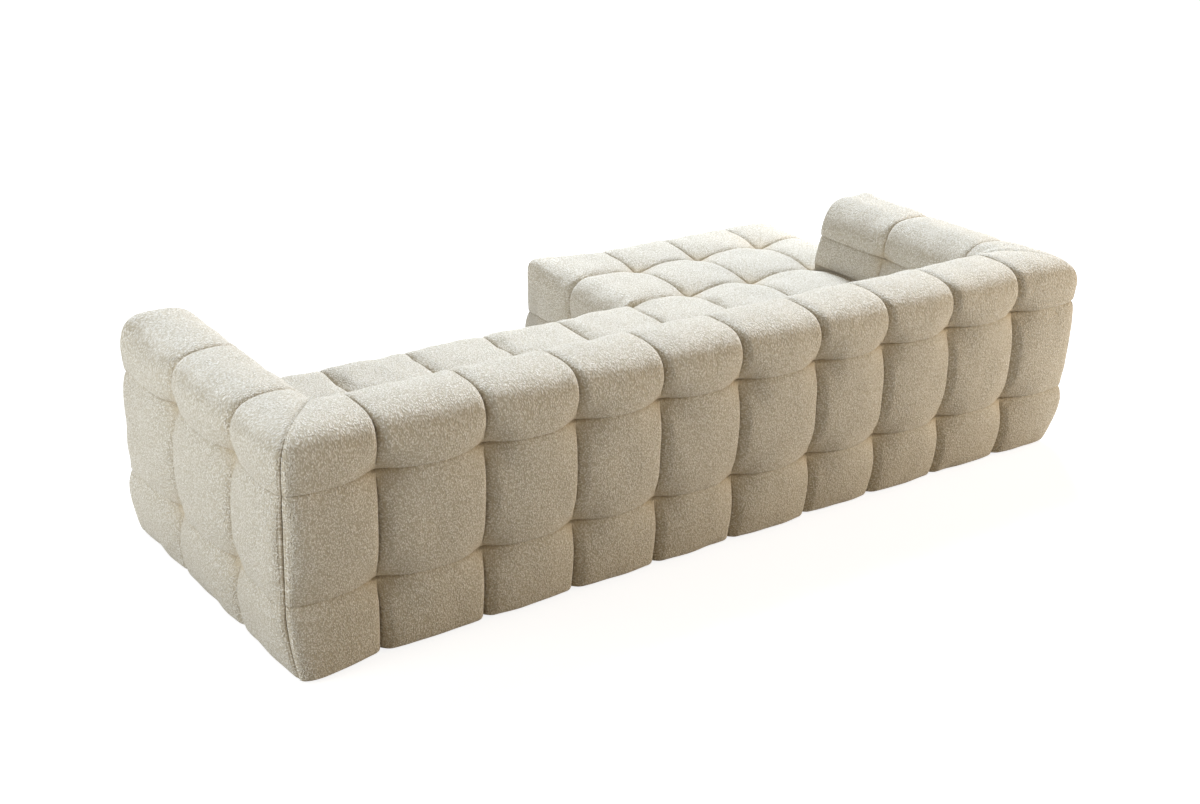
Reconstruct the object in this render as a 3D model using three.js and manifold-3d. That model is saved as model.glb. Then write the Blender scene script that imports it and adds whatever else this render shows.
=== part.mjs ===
// Two-module quilted sectional sofa with arms as high as its back and a chaise. Millimetres, +Z up.
// Plan coordinates: u runs along the back from the sofa module's outer corner, v runs from the rear
// face to the front, z is up. A turned group at the end sets them in the part's frame, front to -Y.
import * as THREE from 'three';
import { mergeVertices } from 'three/addons/utils/BufferGeometryUtils.js';
import Module from 'manifold-3d';

const wasm = await Module();
wasm.setup();

// Overall sizes, all at the depth of the quilting seams
const armThickness = 262;
const backThickness = 280;
const wallHeight = 712;
const seatHeight = 412;
const hemHeight = 6;
const creaseWidth = 12;
const moduleGap = 0.6;
const sofaBayWidth = 1613;
const sofaPanelShares = [0.2145, 0.1972, 0.1934, 0.1922, 0.2027];
const chaiseBayWidth = 936;
const chaisePanelShares = [0.3494, 0.329, 0.3216];
const rearRowDepth = 388;
const secondRowDepth = 340;
const thirdRowDepth = 325;
const frontRowDepth = 255;
const lowerSeamHeight = 224;
const upperSeamHeight = 553;

// How far the pillows stand proud of their seams
const wallBulge = 38;
const topBulge = 14;
const innerBulge = 16;
const seatBulge = 28;
const borderBulge = 30;

// Section of the upholstered walls
const hemInset = 10;
const splitHemInset = 5;
const outerTopRadius = 100;
const innerTopRadius = 100;
const topSetback = 40;
const seamLeanShare = 0.4;
const seatTuck = 28;
const seamMargin = 26;
const skirtThickness = 48;
const innerFoamThickness = 85;
const topFoamThickness = 94;
const linerThickness = 12;
const seatEdgeRadius = 62;
const seatSideRadius = 92;

// Frame
const fitGap = 0.3;
const boardThickness = 22;
const ribThickness = 18;
const railBottom = 22;
const railTop = 240;
const bearerTop = 205;
const topRailWidth = 84;
const middleRailHeight = 70;
const middleRailBottom = 404;
const ribHoleRadius = 26;
const ribHoleRiseShare = 0.55;
const ribHoleStretchShare = 2.6;
const ribWaist = 24;
const cornerRibInset = 16;

// Webbing, dust covers, glides and connectors
const strapWidth = 72;
const strapThickness = 2;
const strapRamp = 26;
const coverThickness = 1.5;
const coverMargin = 3;
const glideRadius = 24;
const glideHemGap = 0.4;
const glideEdge = 3;
const shankRadius = 9;
const shankClearance = 1.5;
const plateThickness = 2.5;
const connectorWidth = 100;
const connectorTop = 190;
const hookFlangeHeight = 88;
const tongueWidth = 44;
const tongueLength = 40;
const keeperDepth = 6;
const keeperClearance = 1;
const screwHoleRadius = 3;
const recessMargin = 7;
const recessBottom = 84;
const connectorPlaceShares = [0.16, 0.8];

// Facets: shares across one pillow, and how full a pillow is in its middle and at its edges
const pillowSteps = [0, 0.08, 0.28, 0.5, 0.72, 0.92];
const rowSteps = [0, 0.16, 0.5, 0.84];
const pillowPower = 3;
const seamFillShare = 0.74;
const hemFillShare = 0.6;
const cornerFillShare = 0.3;
const frontFillShare = 0.85;
const seatCornerPower = 4;
const filletRoomShare = 0.9;
const hemCurvePower = 2;
const arcSteps = 4;
const roundSides = 12;
const overrun = 5;
const edgeSteps = [0.45, 1];

const upholsteryLook = { color: 0xe9e0cc, roughness: 0.95, metalness: 0 };
const plywoodLook = { color: 0xc9a675, roughness: 0.7, metalness: 0 };
const pineLook = { color: 0xd8b888, roughness: 0.75, metalness: 0 };
const webbingLook = { color: 0x4c4a46, roughness: 0.85, metalness: 0 };
const coverLook = { color: 0x1c1c1e, roughness: 0.9, metalness: 0 };
const glideLook = { color: 0x26262a, roughness: 0.5, metalness: 0 };
const steelLook = { color: 0xa9adb0, roughness: 0.35, metalness: 0.9 };

// Places that follow from the sizes above
const sum = (values) => values.reduce((total, value) => total + value, 0);
const runningSums = (start, steps) => steps.reduce((list, step) => [...list, list.at(-1) + step], [start]);
const panelSeams = (start, width, shares) => runningSums(start, shares.map((share) => width * share));
const sofaSeams = panelSeams(armThickness + creaseWidth, sofaBayWidth, sofaPanelShares);
const sofaEnd = sofaSeams.at(-1);
const chaiseStart = sofaEnd + moduleGap;
const chaiseWidth = armThickness + creaseWidth + chaiseBayWidth;
const overallWidth = chaiseStart + chaiseWidth;
const chaiseBackSeams = panelSeams(armThickness + creaseWidth, chaiseBayWidth, chaisePanelShares);
const seatRows = runningSums(backThickness + creaseWidth, [rearRowDepth, secondRowDepth]);
const sofaDepth = seatRows.at(-1);
const chaiseRows = runningSums(sofaDepth, [thirdRowDepth, frontRowDepth]);
const chaiseDepth = chaiseRows.at(-1);
const strapLow = railTop + fitGap;
const strapHigh = strapLow + strapThickness + fitGap;
const deckHeight = strapHigh + strapThickness + fitGap;
const pocketTop = wallHeight - topFoamThickness;
const outerFace = skirtThickness + fitGap;
const sofaRailFace = sofaEnd - linerThickness - fitGap;
const chaiseRailFace = chaiseStart + linerThickness + fitGap;

const lerp = THREE.MathUtils.lerp;
const pillow = (share) => 1 - Math.abs(2 * share - 1) ** pillowPower;
const rowFill = (share, lowEnd, highEnd) => {
  const end = share < 0.5 ? lowEnd : highEnd;
  return end + (1 - end) * pillow(share);
};

// Closed solid from points and triangles, turned right side out
function solidGeometry(points, triangles) {
  const volume = sum(triangles.map(([a, b, c]) => new THREE.Vector3()
    .crossVectors(points[b], points[c]).dot(points[a])));
  const ordered = volume < 0 ? triangles.map(([a, b, c]) => [a, c, b]) : triangles;
  const geometry = new THREE.BufferGeometry();
  geometry.setAttribute('position', new THREE.Float32BufferAttribute(points.flatMap((p) => p.toArray()), 3));
  geometry.setIndex(ordered.flat());
  return geometry;
}

function toManifold(geometry) {
  const bare = geometry.clone();
  bare.deleteAttribute('normal');
  bare.deleteAttribute('uv');
  const merged = mergeVertices(bare);
  const vertProperties = new Float32Array(merged.attributes.position.array);
  const triVerts = new Uint32Array(merged.index.array);
  return new wasm.Manifold(new wasm.Mesh({ numProp: 3, vertProperties, triVerts }));
}

function fromManifold(manifold) {
  const mesh = manifold.getMesh();
  const geometry = new THREE.BufferGeometry();
  geometry.setAttribute('position', new THREE.Float32BufferAttribute(mesh.vertProperties, 3));
  geometry.setIndex([...mesh.triVerts]);
  return geometry;
}

function cut(geometry, tools) {
  const solid = tools.reduce((left, tool) => left.subtract(toManifold(tool)), toManifold(geometry));
  return fromManifold(solid);
}

function join(first, second) {
  return fromManifold(toManifold(first).add(toManifold(second)));
}

function boxBetween([u0, u1], [v0, v1], [z0, z1]) {
  const geometry = new THREE.BoxGeometry(u1 - u0, v1 - v0, z1 - z0);
  return geometry.translate((u0 + u1) / 2, (v0 + v1) / 2, (z0 + z1) / 2);
}

function shapeFrom(points) {
  return new THREE.Shape(points.map(([x, y]) => new THREE.Vector2(x, y)));
}

// Upright prism over a plan outline
function uprightPrism(planPoints, [z0, z1]) {
  const geometry = new THREE.ExtrudeGeometry(shapeFrom(planPoints), { depth: z1 - z0, bevelEnabled: false });
  return geometry.translate(0, 0, z0);
}

// Seam-level section of an upholstered wall: s is the depth from its outer face, z is up
function wallSection(thickness) {
  const topInner = thickness - topSetback;
  const seamInner = lerp(topInner, thickness, seamLeanShare);
  const seatContact = seatHeight + seatTuck;
  const filletRoom = (wallHeight - upperSeamHeight - seamMargin) * filletRoomShare;
  const outerRadius = Math.min(outerTopRadius, filletRoom);
  const innerRadius = Math.min(innerTopRadius, filletRoom);
  const section = [];
  const add = (s, z, fill) => section.push({ s, z, fill });
  for (const step of rowSteps) {
    const z = lerp(hemHeight, lowerSeamHeight, step);
    add(hemInset * (1 - step) ** hemCurvePower, z, rowFill(step, hemFillShare, seamFillShare));
  }
  for (const step of rowSteps) {
    add(0, lerp(lowerSeamHeight, upperSeamHeight, step), rowFill(step, seamFillShare, seamFillShare));
  }
  const crown = new THREE.Path();
  crown.moveTo(0, upperSeamHeight);
  crown.lineTo(0, upperSeamHeight + seamMargin);
  crown.lineTo(0, wallHeight - outerRadius);
  crown.quadraticCurveTo(0, wallHeight, outerRadius, wallHeight);
  crown.lineTo((outerRadius + topInner - innerRadius) / 2, wallHeight);
  crown.lineTo(topInner - innerRadius, wallHeight);
  crown.quadraticCurveTo(topInner, wallHeight, topInner, wallHeight - innerRadius);
  crown.lineTo(seamInner, upperSeamHeight + seamMargin);
  crown.lineTo(seamInner, upperSeamHeight);
  const crownPoints = crown.getPoints(arcSteps);
  const lengths = crownPoints.slice(1).map((point, i) => point.distanceTo(crownPoints[i]));
  const travelled = runningSums(0, lengths).map((length) => length / sum(lengths));
  crownPoints.forEach((point, i) => add(point.x, point.y, rowFill(travelled[i], seamFillShare, seamFillShare)));
  for (const step of [...rowSteps.slice(1), 1]) {
    const s = lerp(seamInner, thickness, step);
    add(s, lerp(upperSeamHeight, seatContact, step), rowFill(step, seamFillShare, 0));
  }
  add(thickness, deckHeight, 0);
  add(skirtThickness, deckHeight, 0);
  add(skirtThickness, hemHeight, 0);
  return section.map((point, i) => ({ ...point, ...bulgeAt(section, i) }));
}

// Outward direction and size of the bulge at one point of a wall section
function bulgeAt(section, i) {
  const before = section[Math.max(i - 1, 0)];
  const after = section[(i + 1) % section.length];
  const normal = new THREE.Vector2(before.z - after.z, after.s - before.s).normalize();
  const faceBulge = normal.x < 0 ? wallBulge : innerBulge;
  const size = section[i].fill * lerp(topBulge, faceBulge, normal.x ** 2);
  return { liftS: normal.x * size, liftZ: normal.y * size };
}

// Wall that starts on the mitre plane of its corner; place(a, s) gives u and v of a point, and
// frontFill is how full the last pillow stays at the wall's end
function quiltedWall(thickness, otherThickness, seams, frontFill, place) {
  const section = wallSection(thickness);
  const mitreSlope = otherThickness / thickness;
  const points = [];
  let ringCount = 0;
  const addRing = (columnStart, columnEnd, step, fill) => {
    for (const point of section) {
      const s = point.s + point.liftS * fill;
      const a = lerp(columnStart(s), columnEnd, step);
      const [u, v] = place(a, s);
      points.push(new THREE.Vector3(u, v, point.z + point.liftZ * fill));
    }
    ringCount += 1;
  };
  seams.forEach((seam, i) => {
    const columnStart = i === 0 ? (s) => s * mitreSlope + fitGap : () => seams[i - 1];
    const lowFill = i === 0 ? cornerFillShare : 0;
    const highFill = i === seams.length - 1 ? frontFill : 0;
    for (const step of pillowSteps) addRing(columnStart, seam, step, rowFill(step, lowFill, highFill));
  });
  addRing(() => 0, seams.at(-1), 1, frontFill);
  return solidGeometry(points, loftTriangles(section.map(({ s, z }) => [s, z]), ringCount));
}

// Triangles of a loft of equal rings with flat ends
function loftTriangles(outline, ringCount) {
  const size = outline.length;
  const triangles = [];
  for (let ring = 0; ring < ringCount - 1; ring += 1) {
    for (let i = 0; i < size; i += 1) {
      const a = ring * size + i;
      const b = ring * size + ((i + 1) % size);
      triangles.push([a, b, a + size], [b, b + size, a + size]);
    }
  }
  const cap = THREE.ShapeUtils.triangulateShape(outline.map(([x, y]) => new THREE.Vector2(x, y)), []);
  const last = (ringCount - 1) * size;
  const winding = THREE.ShapeUtils.isClockWise(outline.map(([x, y]) => new THREE.Vector2(x, y)));
  for (const [a, b, c] of cap) {
    triangles.push(winding ? [a, b, c] : [a, c, b]);
    triangles.push(winding ? [last + a, last + c, last + b] : [last + a, last + b, last + c]);
  }
  return triangles;
}

// Pocket in a wall for its frame, open at the bottom; frameRun gives where rails may run in it
function frameRun(thickness, otherThickness, end, endFoam) {
  const inner = thickness - innerFoamThickness;
  const mitreSlope = otherThickness / thickness;
  const startAt = (s) => s * mitreSlope + linerThickness;
  return { outer: skirtThickness, inner, startAt, end: end - endFoam };
}

function wallPocket(run, place) {
  const plan = [
    place(run.startAt(run.outer), run.outer),
    place(run.end, run.outer),
    place(run.end, run.inner),
    place(run.startAt(run.inner), run.inner),
  ];
  return uprightPrism(plan, [deckHeight - overrun, pocketTop]);
}

function upholsteredBack(seams, place) {
  const wall = quiltedWall(backThickness, armThickness, seams, 0, place);
  const run = frameRun(backThickness, armThickness, seams.at(-1), linerThickness);
  return cut(wall, [wallPocket(run, place)]);
}

function upholsteredArm(place) {
  const wall = quiltedWall(armThickness, backThickness, seatRows, frontFillShare, place);
  const run = frameRun(armThickness, backThickness, sofaDepth, skirtThickness);
  return cut(wall, [wallPocket(run, place)]);
}

// Border that closes the sofa arm's front end below its foam
function withFrontBorder(wall, thickness, end, place) {
  const [u0, v0] = place(end - skirtThickness, skirtThickness);
  const [u1, v1] = place(end, thickness);
  return join(wall, boxBetween([u0, u1], [v0, v1], [hemHeight, deckHeight]));
}

// One axis of a quilted block: seams from low to high; low and high are the radii with which an
// exposed end rolls over its edge, and 0 at a hidden end
function axisSamples({ seams, low, high, steps }) {
  const samples = [];
  for (let i = 0; i < seams.length - 1; i += 1) {
    const rollsLow = low > 0 && i === 0;
    const rollsHigh = high > 0 && i === seams.length - 2;
    const inside = steps.filter((step) => !(rollsLow && step < 0.5) && !(rollsHigh && step > 0.5));
    samples.push(...inside.map((step) => lerp(seams[i], seams[i + 1], step)));
  }
  const [first, last] = [seams[0], seams.at(-1)];
  if (low > 0) samples.push(...edgeSteps.map((step) => first + low * step), first);
  if (high > 0) samples.push(...edgeSteps.map((step) => last - high * step));
  samples.push(last);
  const sorted = samples.sort((a, b) => a - b);
  return sorted.filter((value, i) => i === 0 || value - sorted[i - 1] > fitGap);
}

function axisFill(value, { seams, low, high }) {
  const last = seams.length - 2;
  const found = seams.findIndex((seam, i) => i <= last && value <= seams[i + 1]);
  const cell = found < 0 ? last : found;
  const share = (value - seams[cell]) / (seams[cell + 1] - seams[cell]);
  if (low > 0 && cell === 0) return pillow((1 + share) / 2);
  if (high > 0 && cell === last) return pillow(share / 2);
  return pillow(share);
}

// Block with quilted faces over its exposed ends
function quiltedBlock(axes) {
  const samples = axes.map(axisSamples);
  const points = [];
  const keys = new Map();
  const vertex = (indices) => {
    const key = indices.join();
    if (!keys.has(key)) {
      const value = indices.map((index, k) => samples[k][index]);
      const core = value.map((x, k) => THREE.MathUtils.clamp(
        x, axes[k].seams[0] + axes[k].low, axes[k].seams.at(-1) - axes[k].high));
      const out = new THREE.Vector3(...value.map((x, k) => x - core[k]));
      const point = new THREE.Vector3(...core);
      if (out.length() > 0) {
        point.addScaledVector(out, 1 / edgeReach(out, axes));
        out.normalize();
        const [across, along] = axes.slice(0, 2).map((axis, k) => axisFill(value[k], axis));
        const bulge = lerp(borderBulge, seatBulge, out.z ** 2) * across * along * borderFill(value[2]);
        const inset = lerp(hemInset, splitHemInset, Math.max(0, -out.x));
        point.addScaledVector(out, bulge - hemTuck(value[2], inset));
      }
      keys.set(key, points.length);
      points.push(point);
    }
    return keys.get(key);
  };
  return solidGeometry(points, blockTriangles(samples, vertex));
}

// How far a point lies beyond its rolled edges, as a share of their radii; upright corners are squarer
function edgeReach(out, axes) {
  const [x, y, z] = out.toArray().map((gap, k) => Math.abs(gap) / (gap < 0 ? axes[k].low : axes[k].high || 1));
  return Math.hypot((x ** seatCornerPower + y ** seatCornerPower) ** (1 / seatCornerPower), z);
}

// The crease along a border is shallow, and its hem tucks under, least on the thin split side
function borderFill(z) {
  const share = (z - hemHeight) / (lowerSeamHeight - hemHeight);
  if (share < 1) return rowFill(share, hemFillShare, seamFillShare);
  return rowFill((z - lowerSeamHeight) / (seatHeight - lowerSeamHeight) / 2, seamFillShare, 1);
}

function hemTuck(z, inset) {
  const share = Math.min(1, (z - hemHeight) / (lowerSeamHeight - hemHeight));
  return inset * (1 - share) ** hemCurvePower;
}

function blockTriangles(samples, vertex) {
  const triangles = [];
  for (let axis = 0; axis < 3; axis += 1) {
    const [first, second] = [(axis + 1) % 3, (axis + 2) % 3];
    for (const end of [0, samples[axis].length - 1]) {
      for (let i = 0; i < samples[first].length - 1; i += 1) {
        for (let j = 0; j < samples[second].length - 1; j += 1) {
          const corner = (di, dj) => {
            const indices = [0, 0, 0];
            indices[axis] = end;
            indices[first] = i + di;
            indices[second] = j + dj;
            return vertex(indices);
          };
          const [a, b, c, d] = [corner(0, 0), corner(1, 0), corner(1, 1), corner(0, 1)];
          const facing = end === 0 ? [[a, c, b], [a, d, c]] : [[a, b, c], [a, c, d]];
          triangles.push(...facing);
        }
      }
    }
  }
  return triangles;
}

const heightSeams = [hemHeight, lowerSeamHeight, seatHeight];
const heightAxis = { seams: heightSeams, low: 0, high: seatEdgeRadius, steps: rowSteps };
const columnAxis = (seams, low, high) => ({ seams, low, high, steps: pillowSteps });
const rowAxis = (seams, high) => ({ seams, low: 0, high, steps: rowSteps });

// Recesses for the connectors in the lining of a module's split side
function connectorRecesses(faceU) {
  return connectorPlaces().map((v) => {
    const half = connectorWidth / 2 + recessMargin;
    return boxBetween([faceU - linerThickness - overrun, faceU + linerThickness + overrun],
      [v - half, v + half], [recessBottom, deckHeight - overrun]);
  });
}

function connectorPlaces() {
  const start = seatRows[0];
  return connectorPlaceShares.map((share) => lerp(start, sofaDepth, share));
}

function sofaSeat() {
  const seams = [armThickness + fitGap, ...sofaSeams.slice(1)];
  const rows = [backThickness + fitGap, ...seatRows.slice(1)];
  const block = quiltedBlock([columnAxis(seams, 0, 0), rowAxis(rows, seatEdgeRadius), heightAxis]);
  const bay = boxBetween([armThickness - overrun, sofaEnd - linerThickness],
    [backThickness - overrun, sofaDepth - skirtThickness], [hemHeight - overrun, deckHeight]);
  return cut(block, [bay, ...connectorRecesses(sofaEnd)]);
}

function chaiseSeat() {
  const innerEnd = overallWidth - armThickness - fitGap;
  const backSeams = chaiseBackSeams.slice(1).map((a) => overallWidth - a).reverse();
  const rows = [backThickness + fitGap, seatRows[1], sofaDepth + fitGap];
  const rearSeams = [...backSeams, innerEnd];
  const frontSeams = [...backSeams, overallWidth - chaiseBackSeams[0], overallWidth];
  const frontRows = [sofaDepth + fitGap, ...chaiseRows.slice(1)];
  const rearHeight = { ...heightAxis, high: 0, steps: [0] };
  const rear = quiltedTop([columnAxis(rearSeams, 0, 0), rowAxis(rows, 0), rearHeight]);
  const frontColumns = columnAxis(frontSeams, seatEdgeRadius, seatSideRadius);
  const front = quiltedBlock([frontColumns, rowAxis(frontRows, seatEdgeRadius), heightAxis]);
  const bay = boxBetween([chaiseStart + linerThickness, overallWidth - skirtThickness],
    [backThickness - overrun, chaiseDepth - skirtThickness], [hemHeight - overrun, deckHeight]);
  return cut(join(rear, front), [bay, ...connectorRecesses(chaiseStart)]);
}

// Block whose top alone is quilted
function quiltedTop(axes) {
  const samples = axes.map(axisSamples);
  const top = samples[2].length - 1;
  const points = [];
  const keys = new Map();
  const vertex = (indices) => {
    const key = indices.join();
    if (!keys.has(key)) {
      const [u, v, z] = indices.map((index, k) => samples[k][index]);
      const fill = axisFill(u, axes[0]) * axisFill(v, axes[1]);
      keys.set(key, points.length);
      points.push(new THREE.Vector3(u, v, z + (indices[2] === top ? seatBulge * fill : 0)));
    }
    return keys.get(key);
  };
  return solidGeometry(points, blockTriangles(samples, vertex));
}

// Plywood rib of a wall frame in its s and z section: a foot behind the rail or standing on it
function ribShape(run, hasMiddleRail, hasFoot) {
  const shoulder = outerFace + boardThickness + fitGap;
  const seat = railTop + fitGap;
  const inner = run.inner - fitGap;
  const top = pocketTop - fitGap - boardThickness - fitGap;
  const notchTop = middleRailBottom + middleRailHeight + fitGap;
  const notchBottom = middleRailBottom - fitGap;
  const notchDepth = inner - boardThickness - fitGap;
  const shape = new THREE.Shape();
  shape.moveTo(inner, hasFoot ? railBottom : seat);
  if (hasMiddleRail) {
    shape.lineTo(inner, notchBottom);
    shape.lineTo(notchDepth, notchBottom);
    shape.lineTo(notchDepth, notchTop);
  }
  shape.lineTo(inner, notchTop);
  shape.quadraticCurveTo(inner, top, inner - ribWaist, top);
  shape.lineTo(outerFace, top);
  shape.lineTo(outerFace, seat);
  if (hasFoot) {
    shape.lineTo(shoulder, seat);
    shape.lineTo(shoulder, railBottom);
  }
  const hole = new THREE.Path();
  const centre = (outerFace + notchDepth) / 2;
  const stretch = ribHoleRadius * ribHoleStretchShare;
  hole.absellipse(centre, lerp(seat, top, ribHoleRiseShare), ribHoleRadius, stretch, 0, Math.PI * 2, true);
  shape.holes.push(hole);
  return shape;
}

// Rib standing across a wall at the place a along it, thickness towards +a
function rib(shape, a, place) {
  const options = { depth: ribThickness, bevelEnabled: false, curveSegments: arcSteps };
  const geometry = new THREE.ExtrudeGeometry(shape, options);
  return mapSolid(geometry, ({ x, y, z }) => [...place(a + z, x), y]);
}

// Moves each vertex of a closed geometry, keeping its faces outward
function mapSolid(geometry, move) {
  const bare = geometry.clone();
  bare.deleteAttribute('normal');
  bare.deleteAttribute('uv');
  const merged = mergeVertices(bare);
  const source = merged.attributes.position;
  const points = [];
  for (let i = 0; i < source.count; i += 1) {
    points.push(new THREE.Vector3(...move(new THREE.Vector3().fromBufferAttribute(source, i))));
  }
  const triangles = [];
  for (let i = 0; i < merged.index.count; i += 3) {
    triangles.push([0, 1, 2].map((k) => merged.index.getX(i + k)));
  }
  return solidGeometry(points, triangles);
}

// Board in a wall: from a0 to a1 along it, and its s and z ranges
function wallBoard([a0, a1], [s0, s1], heights, place) {
  const [u0, v0] = place(a0, s0);
  const [u1, v1] = place(a1, s1);
  return boxBetween([Math.min(u0, u1), Math.max(u0, u1)], [Math.min(v0, v1), Math.max(v0, v1)], heights);
}

const meshes = [];
function addMesh(name, geometry, look) {
  geometry.computeVertexNormals();
  const mesh = new THREE.Mesh(geometry, new THREE.MeshStandardMaterial(look));
  mesh.name = name;
  meshes.push(mesh);
}

// Frame inside one wall: ribs, a top rail and, in a back, a middle rail
function addWallFrame(name, run, ribPlaces, hasMiddleRail, place) {
  const railStart = run.startAt(run.inner) + fitGap;
  const railEnd = run.end - fitGap;
  const topStart = outerFace + (run.inner - outerFace - topRailWidth) / 2;
  ribPlaces.forEach(([a, hasFoot], i) => {
    const shape = ribShape(run, hasMiddleRail, hasFoot);
    addMesh(`${name}_rib_${i + 1}`, rib(shape, a, place), plywoodLook);
  });
  const topHeights = [pocketTop - fitGap - boardThickness, pocketTop - fitGap];
  addMesh(`${name}_top_rail`,
    wallBoard([railStart, railEnd], [topStart, topStart + topRailWidth], topHeights, place), pineLook);
  if (hasMiddleRail) {
    const inner = run.inner - fitGap;
    addMesh(`${name}_middle_rail`, wallBoard([railStart, railEnd], [inner - boardThickness, inner],
      [middleRailBottom, middleRailBottom + middleRailHeight], place), pineLook);
  }
}

// Base frame of one module between two side faces
function addBase(name, [u0, u1], frontFace, armOnLowSide) {
  const heights = [railBottom, railTop];
  const seatRailStart = backThickness - innerFoamThickness + fitGap;
  const innerU = [u0 + boardThickness + fitGap, u1 - boardThickness - fitGap];
  const innerV = [outerFace + boardThickness + fitGap, frontFace - boardThickness - fitGap];
  const board = (part, us, vs, zs) => addMesh(`${name}_${part}`, boxBetween(us, vs, zs), pineLook);
  board('rear_rail', [u0, u1], [outerFace, outerFace + boardThickness], heights);
  board('seat_rear_rail', innerU, [seatRailStart, seatRailStart + boardThickness], heights);
  board('front_rail', [u0, u1], [frontFace - boardThickness, frontFace], heights);
  board(armOnLowSide ? 'arm_side_rail' : 'split_side_rail', [u0, u0 + boardThickness], innerV, heights);
  board(armOnLowSide ? 'split_side_rail' : 'arm_side_rail', [u1 - boardThickness, u1], innerV, heights);
  return { innerU, innerV: [seatRailStart + boardThickness + fitGap, innerV[1]] };
}

// Strap seen from its side: level pieces on the rails and over or under each crossing strap
function strapGeometry(start, end, crossings) {
  const stops = [[start, strapLow], ...crossings.flatMap(([place, isHigh]) => {
    const level = isHigh ? strapHigh : strapLow;
    return [[place - strapWidth / 2 - strapRamp / 2, level], [place + strapWidth / 2 + strapRamp / 2, level]];
  }), [end, strapLow]];
  const line = [];
  stops.forEach(([place, level], i) => {
    const [nextPlace, nextLevel] = stops[i + 1] ?? [place, level];
    line.push([place, level]);
    if (nextLevel !== level && nextPlace - place > strapRamp) {
      const before = level > nextLevel ? place : nextPlace - strapRamp;
      if (before > place) line.push([before, level]);
      else line.push([place + strapRamp, nextLevel]);
    }
  });
  const upper = line.map(([place, level]) => [place, level + strapThickness]).reverse();
  return new THREE.ExtrudeGeometry(shapeFrom([...line, ...upper]), { depth: strapWidth, bevelEnabled: false });
}

// Woven elastic straps: long ones run from back to front, cross ones from side to side
function addWebbing(name, longPlaces, crossPlaces, [longStart, longEnd], [crossStart, crossEnd]) {
  longPlaces.forEach((u, i) => {
    const crossings = crossPlaces.map((v, j) => [v, (i + j) % 2 === 0]);
    const strap = strapGeometry(longStart, longEnd, crossings);
    const centred = mapSolid(strap, ({ x, y, z }) => [u + z - strapWidth / 2, x, y]);
    addMesh(`${name}_webbing_long_${i + 1}`, centred, webbingLook);
  });
  crossPlaces.forEach((v, j) => {
    const crossings = longPlaces.map((u, i) => [u, (i + j) % 2 === 1]);
    const strap = strapGeometry(crossStart, crossEnd, crossings);
    const centred = mapSolid(strap, ({ x, y, z }) => [x, v + z - strapWidth / 2, y]);
    addMesh(`${name}_webbing_cross_${j + 1}`, centred, webbingLook);
  });
}

// Round glide with a rolled edge and a shank through the dust cover to the rail
function glide() {
  const top = hemHeight - glideHemGap;
  const profile = [
    [0, 0], [glideRadius - glideEdge, 0], [glideRadius, glideEdge], [glideRadius, top],
    [shankRadius, top], [shankRadius, railBottom - fitGap], [0, railBottom - fitGap],
  ].map(([r, z]) => new THREE.Vector2(r, z));
  return new THREE.LatheGeometry(profile, roundSides).rotateX(Math.PI / 2);
}

function addGlides(name, places) {
  places.forEach(([u, v], i) => addMesh(`${name}_glide_${i + 1}`, glide().translate(u, v, 0), glideLook));
}

// Dust cover stapled under the rails, with a hole for each glide's shank
function addDustCover(name, [u0, u1], [v0, v1], places) {
  const top = railBottom - fitGap;
  const sheet = boxBetween([u0, u1], [v0, v1], [top - coverThickness, top]);
  const drill = (u, v) => new THREE.CylinderGeometry(shankRadius + shankClearance, shankRadius + shankClearance,
    coverThickness + overrun, roundSides).rotateX(Math.PI / 2).translate(u, v, top);
  addMesh(`${name}_dust_cover`, cut(sheet, places.map(([u, v]) => drill(u, v))), coverLook);
}

// Steel keeper on the sofa module's rail: a hat section that the tongue drops into
function keeper(faceU, v) {
  const back = faceU + fitGap;
  const half = connectorWidth / 2;
  const mouth = tongueWidth / 2 + keeperClearance;
  const raised = back + keeperDepth;
  const hat = [
    [back, v - half], [back + plateThickness, v - half], [back + plateThickness, v - mouth - plateThickness],
    [raised + plateThickness, v - mouth - plateThickness], [raised + plateThickness, v + mouth + plateThickness],
    [back + plateThickness, v + mouth + plateThickness], [back + plateThickness, v + half], [back, v + half],
    [back, v + mouth], [raised, v + mouth], [raised, v - mouth], [back, v - mouth],
  ];
  const top = connectorTop - plateThickness - keeperClearance;
  const plate = uprightPrism(hat, [top - tongueLength, top]);
  const flangeMiddle = (mouth + plateThickness + half) / 2;
  return cut(plate, [-1, 1].map((side) => screwHole(back, v + side * flangeMiddle, top - tongueLength / 2)));
}

function screwHole(u, v, z) {
  const drill = new THREE.CylinderGeometry(screwHoleRadius, screwHoleRadius, overrun * 2, roundSides);
  return drill.rotateZ(Math.PI / 2).translate(u, v, z);
}

// Steel hook on the chaise module's rail: its tongue hangs in the keeper
function hook(railU, faceU, v) {
  const back = railU - fitGap;
  const tongue = faceU + fitGap + (keeperDepth - plateThickness) / 2;
  const top = connectorTop;
  const outline = [
    [back, top - hookFlangeHeight], [back, top], [tongue, top], [tongue, top - plateThickness - tongueLength],
    [tongue + plateThickness, top - plateThickness - tongueLength], [tongue + plateThickness, top - plateThickness],
    [back - plateThickness, top - plateThickness], [back - plateThickness, top - hookFlangeHeight],
  ];
  const bent = new THREE.ExtrudeGeometry(shapeFrom(outline), { depth: tongueWidth, bevelEnabled: false });
  const plate = mapSolid(bent, ({ x, y, z }) => [x, v + z - tongueWidth / 2, y]);
  const holeHeight = top - hookFlangeHeight + hookFlangeHeight / 4;
  return cut(plate, [-1, 1].map((side) => screwHole(back, v + side * tongueWidth / 4, holeHeight)));
}

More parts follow.
